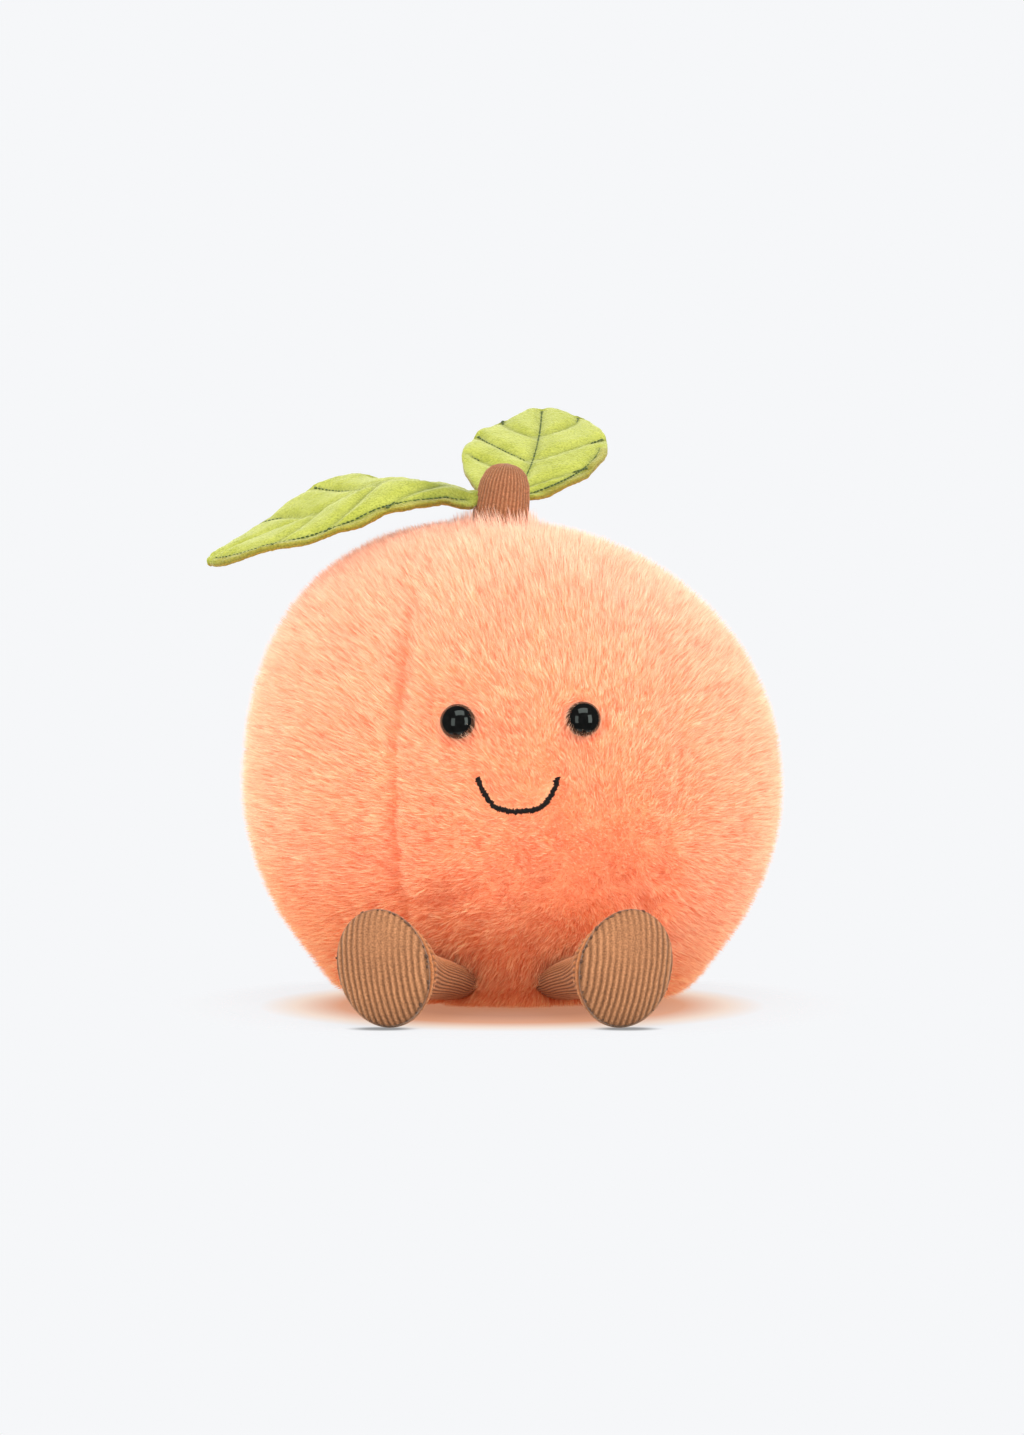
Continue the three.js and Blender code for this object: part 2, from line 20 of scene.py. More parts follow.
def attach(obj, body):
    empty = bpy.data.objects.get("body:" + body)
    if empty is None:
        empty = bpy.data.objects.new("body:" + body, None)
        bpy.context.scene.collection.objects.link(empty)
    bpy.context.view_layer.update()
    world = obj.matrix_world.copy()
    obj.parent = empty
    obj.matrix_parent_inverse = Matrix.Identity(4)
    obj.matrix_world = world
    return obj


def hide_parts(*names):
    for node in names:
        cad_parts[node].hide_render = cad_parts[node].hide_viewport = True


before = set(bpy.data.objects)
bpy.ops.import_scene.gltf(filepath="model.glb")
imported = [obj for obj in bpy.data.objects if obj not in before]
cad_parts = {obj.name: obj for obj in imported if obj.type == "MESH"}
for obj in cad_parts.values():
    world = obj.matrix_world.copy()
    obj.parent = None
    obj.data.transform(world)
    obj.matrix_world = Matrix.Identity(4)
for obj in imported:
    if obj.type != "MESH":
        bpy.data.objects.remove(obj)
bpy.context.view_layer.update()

LOG = logging.getLogger("plush_peach")
MM = 0.001
NOISE_SEED = 7
WELD = 1e-6
BODY = "root"

Array = np.ndarray
Colour = tuple[float, float, float]
WHITE: Colour = (1.0, 1.0, 1.0)
Place = Callable[[Array, Array], tuple[Array, dict[str, Array]]]


# ---------------------------------------------------------------- small helpers
def srgb(red: int, green: int, blue: int) -> Colour:
    """Linear colour of an 8-bit sRGB one.

    Args:
        red: Red, 0 to 255.
        green: Green, 0 to 255.
        blue: Blue, 0 to 255.

    Returns:
        The linear red, green and blue.
    """
    shares = (c / 255 for c in (red, green, blue))
    return tuple(c / 12.92 if c <= 0.04045 else ((c + 0.055) / 1.055) ** 2.4 for c in shares)


def unit(vectors: Array) -> Array:
    """Vectors scaled to length 1 along their last axis."""
    return vectors / np.maximum(np.linalg.norm(vectors, axis=-1, keepdims=True), 1e-12)


def dot(a: Array, b: Array) -> Array:
    """Row by row scalar products."""
    return np.einsum("...i,...i->...", a, b)


def smooth(share: Array) -> Array:
    """Shares clipped to 0..1 and eased at both ends."""
    share = np.clip(share, 0.0, 1.0)
    return share * share * (3 - 2 * share)


def rising(value: Array, start: float, width: float) -> Array:
    """0 up to a start, then rising to 1 over a width."""
    return smooth((value - start) / width)


def fading(value: Array, end: float, width: float) -> Array:
    """1 at first, then fading over a width to 0 at an end."""
    return smooth((end - value) / width)


def bump(distance: Array, reach: float) -> Array:
    """Bell curve of a distance: 1 at nothing, fading out over the reach."""
    return np.exp(-((distance / reach) ** 2))


def drift(points: Array, cell: float) -> Array:
    """Smooth random vectors that vary over the given distance.

    Args:
        points: Where to read them, one row each.
        cell: Size of the variation, in metres.

    Returns:
        One vector for each point, each part within about -1..1.
    """
    return np.array([noise.noise_vector(Vector(p)) for p in points / cell])


@dataclass(frozen=True)
class Wave:
    """Smooth random change over a surface: how large it is, and over what distance it varies."""

    size: float
    cell: float

    def at(self, points: Array) -> Array:
        """Its vectors at points."""
        return self.size * drift(points, self.cell)


def piece_of(mesh: Mesh, name: str) -> Object:
    """A new object for a mesh, linked to the scene at the origin."""
    thing = bpy.data.objects.new(name, mesh)
    bpy.context.scene.collection.objects.link(thing)
    return thing


def piece_from(bm: bmesh.types.BMesh, name: str) -> Object:
    """A new object for what a bmesh holds; the bmesh is freed."""
    mesh = bpy.data.meshes.new(name)
    bm.to_mesh(mesh)
    bm.free()
    return piece_of(mesh, name)


def settle(thing: Object) -> None:
    """Replaces an object's mesh by what its modifiers make of it, and removes them."""
    graph = bpy.context.evaluated_depsgraph_get()
    made = bpy.data.meshes.new_from_object(thing.evaluated_get(graph))
    thing.modifiers.clear()
    thing.data = made


def corners(mesh: Mesh) -> Array:
    """The places of a mesh's vertices, one row each."""
    flat = np.empty(len(mesh.vertices) * 3)
    mesh.vertices.foreach_get("co", flat)
    return flat.reshape(-1, 3)


def dress(thing: Object, material: Material) -> Object:
    """Gives a piece its finish, smooth shading and its body.

    Args:
        thing: The piece.
        material: Its finish.

    Returns:
        The piece.
    """
    thing.data.materials.clear()
    thing.data.materials.append(material)
    thing.data.polygons.foreach_set("use_smooth", [True] * len(thing.data.polygons))
    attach(thing, BODY)
    LOG.info("%s: %d faces", thing.name, len(thing.data.polygons))
    return thing


def cloth_patch(name: str, columns: int, rows: int, place: Place) -> Object:
    """Closed piece from a grid laid over a form, welded where its edges meet and capped elsewhere.

    Args:
        name: Name of the piece.
        columns: Faces across.
        rows: Faces along.
        place: Gives for u and v in 0..1 the points, and named values to keep on them.

    Returns:
        The piece, with its normals outwards.
    """
    bm = bmesh.new()
    bmesh.ops.create_grid(bm, x_segments=columns, y_segments=rows, size=1)
    grid = np.array([v.co for v in bm.verts])
    points, values = place((grid[:, 0] + 1) / 2, (grid[:, 1] + 1) / 2)
    layers = {key: bm.verts.layers.float.new(key) for key in values}
    for corner, point in zip(bm.verts, points, strict=True):
        corner.co = point
    for key, layer in layers.items():
        for corner, value in zip(bm.verts, values[key], strict=True):
            corner[layer] = value
    bmesh.ops.remove_doubles(bm, verts=bm.verts, dist=WELD)
    bmesh.ops.holes_fill(bm, edges=[e for e in bm.edges if e.is_boundary], sides=0)
    bmesh.ops.recalc_face_normals(bm, faces=bm.faces)
    return piece_from(bm, name)


def turned(
    name: str, profile: Sequence[tuple[float, float]], origin: Array, axis: Array, steps: int = 48,
) -> Object:
    """Round piece spun from a profile about an axis.

    Args:
        name: Name of the piece.
        profile: Radius and height of each point, from one pole to the other.
        origin: Where height 0 is.
        axis: Direction of the height.
        steps: Steps of the spin.

    Returns:
        The piece.
    """
    bm = bmesh.new()
    line = [bm.verts.new((radius, 0, height)) for radius, height in profile]
    edges = [bm.edges.new(pair) for pair in zip(line, line[1:])]
    bmesh.ops.spin(
        bm, geom=line + edges, cent=(0, 0, 0), axis=(0, 0, 1), angle=math.tau, steps=steps, use_merge=True,
    )
    bmesh.ops.remove_doubles(bm, verts=bm.verts, dist=WELD)
    bmesh.ops.recalc_face_normals(bm, faces=bm.faces)
    turn = Vector((0, 0, 1)).rotation_difference(Vector(axis)).to_matrix()
    bmesh.ops.rotate(bm, verts=bm.verts, cent=(0, 0, 0), matrix=turn)
    bmesh.ops.translate(bm, verts=bm.verts, vec=Vector(origin))
    return piece_from(bm, name)


# ---------------------------------------------------------------- finishes
class NodePen:
    """Lays out one material's nodes."""

    def __init__(self, name: str) -> None:
        """Starts an empty material with its output.

        Args:
            name: Name of the material.
        """
        self.material = bpy.data.materials.new(name)
        self.material.use_nodes = True
        self.tree = self.material.node_tree
        self.tree.nodes.clear()
        self.output = self.add("ShaderNodeOutputMaterial")

    def add(self, kind: str, settings: dict | None = None, **inputs: object) -> Node:
        """Adds a node.

        Args:
            kind: The node's type.
            settings: Its own properties.
            **inputs: Values or output sockets for its inputs, with _ for a space.

        Returns:
            The node.
        """
        node = self.tree.nodes.new(kind)
        for key, value in (settings or {}).items():
            setattr(node, key, value)
        for key, value in inputs.items():
            socket = node.inputs[key.replace("_", " ")]
            if isinstance(value, NodeSocket):
                self.tree.links.new(value, socket)
            else:
                socket.default_value = (*value, 1.0) if socket.type == "RGBA" else value
        return node

    def speckle(self, scale: float, detail: float = 3.0) -> NodeSocket:
        """Noise on the piece's own coordinates."""
        place = self.add("ShaderNodeTexCoord").outputs["Object"]
        return self.add("ShaderNodeTexNoise", Vector=place, Scale=scale, Detail=detail).outputs["Fac"]

    def ramp(self, value: NodeSocket, stops: Sequence[tuple[float, Colour]]) -> NodeSocket:
        """Colours chosen by a value, blended between the stops."""
        node = self.add("ShaderNodeValToRGB", Fac=value)
        elements = node.color_ramp.elements
        while len(elements) < len(stops):
            elements.new(0.5)
        for element, (at, colour) in zip(elements, stops, strict=True):
            element.position = at
            element.color = (*colour, 1.0)
        return node.outputs["Color"]

    def blend(self, factor: object, a: object, b: object, mode: str = "MIX") -> NodeSocket:
        """Two colours mixed by a factor."""
        node = self.add("ShaderNodeMix", {"data_type": "RGBA", "blend_type": mode})
        for index, value in ((0, factor), (6, a), (7, b)):
            if isinstance(value, NodeSocket):
                self.tree.links.new(value, node.inputs[index])
            else:
                node.inputs[index].default_value = (*value, 1.0) if index else value
        return node.outputs[2]

    def relief(self, height: NodeSocket, strength: float, distance: float) -> NodeSocket:
        """Bump normal of a height."""
        node = self.add("ShaderNodeBump", Height=height, Strength=strength, Distance=distance)
        return node.outputs["Normal"]

    def reckon(self, operation: str, a: object, b: object) -> NodeSocket:
        """One sum of two values."""
        node = self.add("ShaderNodeMath", {"operation": operation})
        for socket, value in zip(node.inputs, (a, b)):
            if isinstance(value, NodeSocket):
                self.tree.links.new(value, socket)
            else:
                socket.default_value = value
        return node.outputs[0]

    def length(self, vector: NodeSocket) -> NodeSocket:
        """Length of a vector."""
        return self.add("ShaderNodeVectorMath", {"operation": "LENGTH"}, Vector=vector).outputs["Value"]

    def mapped(
        self, value: NodeSocket, start: float, end: float, low: float = 0.0, eased: bool = True,
    ) -> NodeSocket:
        """A value over a range turned into one that rises to 1.

        Args:
            value: The value.
            start: Where the range starts.
            end: Where it ends.
            low: What the start is turned into.
            eased: Whether it rises gently at both ends, or evenly.

        Returns:
            The new value.
        """
        settings = {"interpolation_type": "SMOOTHSTEP" if eased else "LINEAR"}
        node = self.add("ShaderNodeMapRange", settings, Value=value, From_Min=start, From_Max=end, To_Min=low)
        return node.outputs["Result"]

    def mix(self, factor: object, a: Node, b: Node) -> Node:
        """Two shaders mixed by a factor."""
        node = self.add("ShaderNodeMixShader", Fac=factor)
        for shader, socket in zip((a, b), list(node.inputs)[1:]):
            self.tree.links.new(shader.outputs[0], socket)
        return node

    def attribute(self, name: str, output: str = "Fac") -> NodeSocket:
        """A named value that the mesh carries."""
        return self.add("ShaderNodeAttribute", {"attribute_name": name}).outputs[output]

    def finish(self, shader: Node) -> Material:
        """Joins the last shader to the output."""
        self.tree.links.new(shader.outputs[0], self.output.inputs["Surface"])
        return self.material


@dataclass(frozen=True)
class PileFinish:
    """Soft man-made fibre: light passes through it, and its colour runs from root to tip."""

    name: str = "peach_pile"
    through: float = 0.5
    speck_scale: float = 420.0
    speck: Colour = (1.0, 0.95, 0.93)

    def material(self) -> Material:
        """The fibre's material, coloured by the hairs' own attribute."""
        pen = NodePen(self.name)
        own = pen.attribute(PileCoat.COLOUR, "Color")
        tint = pen.ramp(pen.speckle(self.speck_scale), [(0.3, self.speck), (0.7, WHITE)])
        colour = pen.blend(1.0, own, tint, "MULTIPLY")
        fibre = pen.add("ShaderNodeBsdfDiffuse", Color=colour)
        glow = pen.add("ShaderNodeBsdfTranslucent", Color=colour)
        return pen.finish(pen.mix(self.through, fibre, glow))


@dataclass(frozen=True)
class KnitFinish:
    """Close knitted backing cloth."""

    name: str
    deep: Colour
    light: Colour
    scale: float = 900.0
    row_share: float = 0.35

    def material(self) -> Material:
        """The knit's material: fine rows and an uneven dye."""
        pen = NodePen(self.name)
        rows = pen.add(
            "ShaderNodeTexWave", {"bands_direction": "Z"}, Scale=self.scale, Distortion=2.0,
            Vector=pen.add("ShaderNodeTexCoord").outputs["Object"],
        ).outputs["Fac"]
        dye = pen.ramp(pen.speckle(self.scale / 4), [(0.3, self.deep), (0.7, self.light)])
        colour = pen.blend(self.row_share, dye, pen.ramp(rows, [(0.0, self.deep), (1.0, self.light)]))
        return pen.finish(pen.add(
            "ShaderNodeBsdfPrincipled", Base_Color=colour, Roughness=0.9, Sheen_Weight=0.3,
            Normal=pen.relief(rows, 0.4, 0.2 * MM),
        ))


@dataclass(frozen=True)
class CordFinish:
    """Needlecord: pale worn ridges, darker valleys as painted shade, and short cut fibres."""

    name: str
    # Colour in the valleys between the ribs: painted shade in the recesses.
    valley: Colour
    ridge: Colour
    worn: Colour
    fibre_scale: float = 2300.0
    fibre_dark: Colour = (0.60, 0.58, 0.57)
    fibre_light: Colour = (1.22, 1.23, 1.25)
    rub_scale: float = 90.0
    rub_dark: Colour = (0.92, 0.90, 0.89)
    rub_light: Colour = (1.05, 1.05, 1.04)

    def material(self) -> Material:
        """The cord's material, which reads how high each point lies on its rib and the painted shade that the
        pieces carry with it.
        """
        pen = NodePen(self.name)
        height = pen.attribute(Rib.HEIGHT_AND_SHADE)
        # Darker towards the valleys and where the pieces darken their seams and edges, painted shade; pale on
        # the worn ridges.
        ribs = pen.ramp(height, [(0.05, self.valley), (0.6, self.ridge), (1.0, self.worn)])
        fibres = pen.speckle(self.fibre_scale, 4.0)
        grain = pen.ramp(fibres, [(0.3, self.fibre_dark), (0.7, self.fibre_light)])
        rubbed = pen.speckle(self.rub_scale, 2.0)
        shade = pen.ramp(rubbed, [(0.3, self.rub_dark), (0.7, self.rub_light)])
        colour = pen.blend(1.0, pen.blend(1.0, ribs, grain, "MULTIPLY"), shade, "MULTIPLY")
        return pen.finish(pen.add(
            "ShaderNodeBsdfPrincipled", Base_Color=colour, Roughness=0.85, Specular_IOR_Level=0.2,
            Sheen_Weight=0.25, Sheen_Roughness=0.4, Sheen_Tint=(1.0, 0.80, 0.62),
            Normal=pen.relief(fibres, 0.8, 0.25 * MM),
        ))


@dataclass(frozen=True)
class VelourFinish:
    """Short soft pile of the leaves, brighter where it is brushed, and yellower and darker on the back layer
    as painted shade with painted orange bounce light.
    """

    name: str
    face: Colour
    brushed: Colour
    # Colour of the painted shade in the creases, at the sewn edge, at the rim and where the leaf curls.
    sunk: Colour
    # Colour of the back layer: painted shade with painted orange bounce light from the body.
    back: Colour
    nap_scale: float = 160.0
    fibre_scale: float = 1900.0
    fibre_dark: Colour = (0.66, 0.69, 0.55)
    fibre_light: Colour = (1.14, 1.13, 1.15)

    def material(self) -> Material:
        """The velour's material, which reads the painted shade of the creases, the sewn edge, the rim and the
        curl, and which layer it is on.
        """
        pen = NodePen(self.name)
        cloth = pen.ramp(pen.speckle(self.nap_scale, 4.0), [(0.35, self.face), (0.65, self.brushed)])
        fibres = pen.speckle(self.fibre_scale, 4.0)
        grain = pen.ramp(fibres, [(0.32, self.fibre_dark), (0.55, WHITE), (0.75, self.fibre_light)])
        # Painted shade: darker in the creases, at the sewn edge, at the rim and where the leaf curls.
        stitched = pen.blend(pen.attribute(Leaf.PAINTED_SHADE), cloth, self.sunk)
        # The back layer takes the painted shade and bounce colour.
        layered = pen.blend(pen.attribute(Leaf.UNDER), stitched, self.back)
        colour = pen.blend(1.0, layered, grain, "MULTIPLY")
        return pen.finish(pen.add(
            "ShaderNodeBsdfPrincipled", Base_Color=colour, Roughness=0.8, Specular_IOR_Level=0.2,
            Sheen_Weight=0.5, Sheen_Roughness=0.35, Sheen_Tint=(0.95, 1.0, 0.6),
            Normal=pen.relief(fibres, 0.9, 0.35 * MM),
        ))


@dataclass(frozen=True)
class ThreadFinish:
    """Spun thread with a slight gloss."""

    name: str
    colour: Colour
    # Colour of the lighter strands: painted highlights.
    light: Colour
    sheen: float = 0.2
    strand_scale: float = 2600.0

    def material(self) -> Material:
        """The thread's material: fine strands, some a little lighter as painted highlights."""
        pen = NodePen(self.name)
        strands = pen.speckle(self.strand_scale)
        colour = pen.ramp(strands, [(0.35, self.colour), (0.8, self.light)])
        return pen.finish(pen.add(
            "ShaderNodeBsdfPrincipled", Base_Color=colour, Roughness=0.6, Specular_IOR_Level=0.25,
            Sheen_Weight=self.sheen, Normal=pen.relief(strands, 0.6, 0.12 * MM),
        ))


@dataclass(frozen=True)
class BeadFinish:
    """Polished black moulded bead with the faintest scuffs."""

    name: str = "eye_bead"
    colour: Colour = (0.0025, 0.0025, 0.0025)
    scuffed: Colour = (0.005, 0.005, 0.005)
    smoothest: float = 0.03
    roughest: float = 0.08
    scuff_scale: float = 700.0

    def material(self) -> Material:
        """The bead's material, a mirror but for the scuffs."""
        pen = NodePen(self.name)
        scuffs = pen.speckle(self.scuff_scale, 5.0)
        gloss = pen.add("ShaderNodeMapRange", Value=scuffs, To_Min=self.smoothest, To_Max=self.roughest)
        tint = pen.ramp(scuffs, [(0.4, self.colour), (0.8, self.scuffed)])
        return pen.finish(pen.add(
            "ShaderNodeBsdfPrincipled", Base_Color=tint, Roughness=gloss.outputs["Result"], IOR=1.46,
            Specular_Tint=(0.86, 1.0, 0.93),
        ))


@dataclass(frozen=True)
class FibreFinish:
    """Loose or moulded material that stays inside: wadding, a pouch of pellets, a washer."""

    name: str
    deep: Colour
    light: Colour
    scale: float
    roughness: float

    def material(self) -> Material:
        """The material: cloudy colour with a fine relief."""
        pen = NodePen(self.name)
        cloud = pen.speckle(self.scale, 6.0)
        return pen.finish(pen.add(
            "ShaderNodeBsdfPrincipled", Base_Color=pen.ramp(cloud, [(0.3, self.deep), (0.7, self.light)]),
            Roughness=self.roughness, Normal=pen.relief(cloud, 0.4, 0.5 * MM),
        ))


# ---------------------------------------------------------------- the body's form
@dataclass(frozen=True)
class UprightSeam:
    """Seam between two gores: azimuth in degrees at the waist, and drift per degree of latitude."""

    azimuth: float
    drift: float


class Panel(Enum):
    """The panels of the body's cover, by the name of their CAD node."""

    FACE = "panel_face"
    SIDE_RIGHT = "panel_side_right"
    BACK_RIGHT = "panel_back_right"
    BACK_MIDDLE = "panel_back_middle"
    BACK_LEFT = "panel_back_left"
    SIDE_LEFT = "panel_side_left"
    BELLY = "panel_belly"
    BASE = "panel_base"


@dataclass(frozen=True)
class PeachForm:
    """The egg of the body to the tips of its pile, as the CAD panels have it. Azimuth 0 faces -Y."""

    radius: float = 74.5 * MM
    waist: float = 55.9 * MM
    upper: float = 75 * MM
    lower: float = 73 * MM
    upper_power: float = 2.18
    lower_power: float = 1.88
    lean: float = -7.4 * MM
    corner: float = 5 * MM
    base_radius: float = 38 * MM
    base_height: float = 12 * MM
    # About how deep the cloth lies under the tips.
    pile_depth: float = 6 * MM
    seams: tuple[UprightSeam, ...] = (
        UprightSeam(-25.5, 0.03), UprightSeam(38.2, 0.15), UprightSeam(97.5, 0.0),
        UprightSeam(156.7, 0.0), UprightSeam(216.0, 0.0), UprightSeam(275.3, 0.0),
    )
    arch_low: float = -24.0
    arch_rise: float = 6.0
    arch_centre: float = 8.0
    arch_half_span: float = 34.0
    # Middle and half span of the part between the two seams beside the face.
    arch_from_middle: float = 6.0
    arch_reaches: float = 33.0

    def point(self, azimuth: Array, latitude: Array) -> Array:
        """Points of the egg.

        Args:
            azimuth: Radians round from -Y.
            latitude: Degrees above the waist.

        Returns:
            The points, one row each.
        """
        azimuth, latitude = np.broadcast_arrays(np.asarray(azimuth, float), np.asarray(latitude, float))
        angle = np.radians(latitude)
        above = latitude > 0
        power = np.where(above, self.upper_power, self.lower_power)
        share = np.sign(angle) * np.abs(np.sin(angle)) ** (2 / power)
        girth = self.radius * np.abs(np.cos(angle)) ** (2 / power)
        z = self.waist + np.where(above, self.upper, self.lower) * share
        soft = (z + self.corner) ** 2 / (4 * self.corner)
        z = np.where(z < -self.corner, 0.0, np.where(z < self.corner, soft, z))
        lean = np.where(above, self.lean * share * share, 0.0)
        return np.stack([girth * np.sin(azimuth) + lean, -girth * np.cos(azimuth), z], axis=-1)

    def normal(self, azimuth: Array, latitude: Array) -> Array:
        """Outward directions at points of the egg."""
        level = np.clip(latitude, -89.0, 88.0)
        sideways = self.point(azimuth + 0.02, level) - self.point(azimuth - 0.02, level)
        upwards = self.point(azimuth, level + 0.4) - self.point(azimuth, level - 0.4)
        return unit(np.cross(sideways, upwards))

    def locate(self, points: Array) -> tuple[Array, Array]:
        """Azimuth in radians and latitude in degrees of points near the surface."""
        height = points[:, 2] - self.waist
        above = height > 0
        reach = np.where(above, self.upper, self.lower) - self.pile_depth
        power = np.where(above, self.upper_power, self.lower_power)
        share = np.clip(np.abs(height) / reach, 0, 1)
        lean = np.where(above, self.lean * share * share, 0.0)
        azimuth = np.arctan2(points[:, 0] - lean, -points[:, 1])
        latitude = np.sign(height) * np.degrees(np.arcsin(share ** (power / 2)))
        return azimuth, latitude

    def seam_offset(self, azimuth: Array, latitude: Array) -> tuple[Array, Array]:
        """Signed distance round the body to the nearest upright seam, and that seam's number."""
        girth = np.abs(self.point(0.0, latitude)[:, 1]) + 1 * MM
        turns = np.stack([
            azimuth - np.radians(seam.azimuth + seam.drift * latitude) for seam in self.seams
        ])
        turns = (turns + math.pi) % math.tau - math.pi
        nearest = np.abs(turns).argmin(axis=0)
        return np.take_along_axis(turns, nearest[None], 0)[0] * girth, nearest

    def arch_offset(self, azimuth: Array, latitude: Array) -> Array:
        """Signed distance above the arched seam between the face and the belly."""
        turn = np.clip((np.degrees(azimuth) - self.arch_centre) / self.arch_half_span, -1, 1)
        arch = self.arch_low + self.arch_rise * np.cos(turn * math.pi / 2) ** 2
        return np.radians(latitude - arch) * self.radius

    def past_arch(self, azimuth: Array) -> Array:
        """Degrees left before the arched seam ends at an upright one, below 0 beyond it."""
        return self.arch_reaches - np.abs(np.degrees(azimuth) - self.arch_from_middle)

    def panel_of(self, points: Array) -> Array:
        """Number of the panel that each point is on, in the order of Panel."""
        azimuth, latitude = self.locate(points)
        edges = [np.radians(seam.azimuth + seam.drift * latitude) for seam in self.seams]
        turn = (azimuth - edges[0]) % math.tau
        panel = np.zeros(len(points), int)
        for number, edge in enumerate(edges[1:], start=1):
            panel += turn > (edge - edges[0]) % math.tau
        belly = (panel == 0) & (self.arch_offset(azimuth, latitude) < 0)
        panel[belly] = list(Panel).index(Panel.BELLY)
        middle = np.hypot(points[:, 0], points[:, 1]) < self.base_radius
        panel[middle & (points[:, 2] < self.base_height)] = list(Panel).index(Panel.BASE)
        return panel


# ---------------------------------------------------------------- eyes and mouth
@dataclass(frozen=True)
class Eye:
    """Bead eye on a shank, seated in the pile."""

    side: str
    azimuth: float
    latitude: float
    radius: float = 4.65 * MM
    proud: float = 2.3 * MM
    seat: float = -4.6 * MM
    shank_radius: float = 1.3 * MM
    shank_end: float = -12 * MM
    flatness: float = 0.86
    dome_steps: int = 20
    # Underside: share of the radius, and mm above the seat.
    underside: tuple[tuple[float, float], ...] = ((0.55, 0.0), (0.80, 0.5), (0.93, 1.2), (0.985, 2.0))

    def seat_on(self, form: PeachForm) -> tuple[Array, Array]:
        """Where the eye sits on the tips of the pile, and the way it looks."""
        azimuth, latitude = math.radians(self.azimuth), self.latitude
        return form.point(azimuth, latitude), form.normal(azimuth, latitude)

    def build(self, form: PeachForm, material: Material) -> Object:
        """Turns the bead and its shank."""
        origin, axis = self.seat_on(form)
        rise = self.radius * self.flatness
        middle = self.proud - rise
        dome = [
            (self.radius * math.cos(a), middle + rise * math.sin(a))
            for a in np.linspace(0, math.pi / 2, self.dome_steps)
        ]
        under = [(self.radius * share, self.seat + height * MM) for share, height in self.underside]
        shank = [(0, self.shank_end), (self.shank_radius, self.shank_end), (self.shank_radius, self.seat)]
        profile = [*shank, *under, *dome]
        bead = turned(f"bead_{self.side}", profile, origin, axis)
        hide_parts(f"eye_{self.side}")
        return dress(bead, material)


@dataclass(frozen=True)
class Smile:
    """Satin-stitched line of the mouth."""

    centre: float = 1.3
    half_span: float = 8.1
    low: float = -1.1
    rise: float = 5.9
    power: float = 3.0
    half_width: float = 0.84 * MM
    sunk: float = 1.0 * MM
    stitches: int = 84
    slant: float = 0.25
    unevenness: float = 0.12
    stray: float = 0.12 * MM
    strand_thick: float = 0.30 * MM
    strand_high: float = 0.45 * MM
    strand_rise: float = 0.32 * MM
    rise_unevenness: float = 0.06 * MM
    fine_steps: int = 400
    seed: int = 11

    def line(self, form: PeachForm, count: int) -> tuple[Array, Array]:
        """Points evenly along the line, and the outward directions there."""
        turn = np.linspace(-1, 1, self.fine_steps)
        azimuth = np.radians(self.centre + turn * self.half_span)
        round_share = 1 - np.sqrt(1 - turn**2)
        latitude = self.low + self.rise * (np.abs(turn) ** self.power + round_share) / 2
        steps = np.linalg.norm(np.diff(form.point(azimuth, latitude), axis=0), axis=1)
        along = np.concatenate([[0], np.cumsum(steps)])
        even = np.linspace(0, along[-1], count)
        azimuth, latitude = np.interp(even, along, azimuth), np.interp(even, along, latitude)
        normal = form.normal(azimuth, latitude)
        return form.point(azimuth, latitude) - normal * self.sunk, normal

    def build(self, form: PeachForm, material: Material) -> Object:
        """Lays the slanted stitches side by side along the line, each a small plump strand."""
        points, normals = self.line(form, self.stitches)
        along = unit(np.gradient(points, axis=0))
        across = unit(np.cross(along, normals))
        wobble = np.random.default_rng(self.seed).normal(0, 1, (self.stitches, 4))
        bm = bmesh.new()
        for k in range(self.stitches):
            reach = self.half_width * (1 + self.unevenness * wobble[k, 0])
            strand = unit(across[k] + along[k] * (self.slant + self.unevenness * wobble[k, 1]))
            side = unit(np.cross(strand, normals[k]))
            middle = points[k] + across[k] * (self.stray * wobble[k, 2])
            arch = self.strand_rise + self.rise_unevenness * wobble[k, 3]
            made = bmesh.ops.create_uvsphere(bm, u_segments=8, v_segments=7, radius=1)["verts"]
            for corner in made:
                x, y, z = corner.co
                lift = normals[k] * (z * self.strand_high + arch * (1 - x * x))
                corner.co = Vector(middle + strand * (x * reach) + side * (y * self.strand_thick) + lift)
        bmesh.ops.recalc_face_normals(bm, faces=bm.faces)
        smile = piece_from(bm, "smile_stitching")
        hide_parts("mouth_stitch")
        return dress(smile, material)


# ---------------------------------------------------------------- needlecord
@dataclass(frozen=True)
class Rib:
    """One rib of needlecord as a height over its width."""

    HEIGHT_AND_SHADE = "rib_height_and_shade"
    pitch: float = 1.6 * MM
    depth: float = 0.42 * MM

    def height(self, across: Array) -> Array:
        """Height, 0 in the valley to 1 on the ridge, at distances across the ribs."""
        return 0.5 + 0.5 * np.cos(math.tau * across / self.pitch)


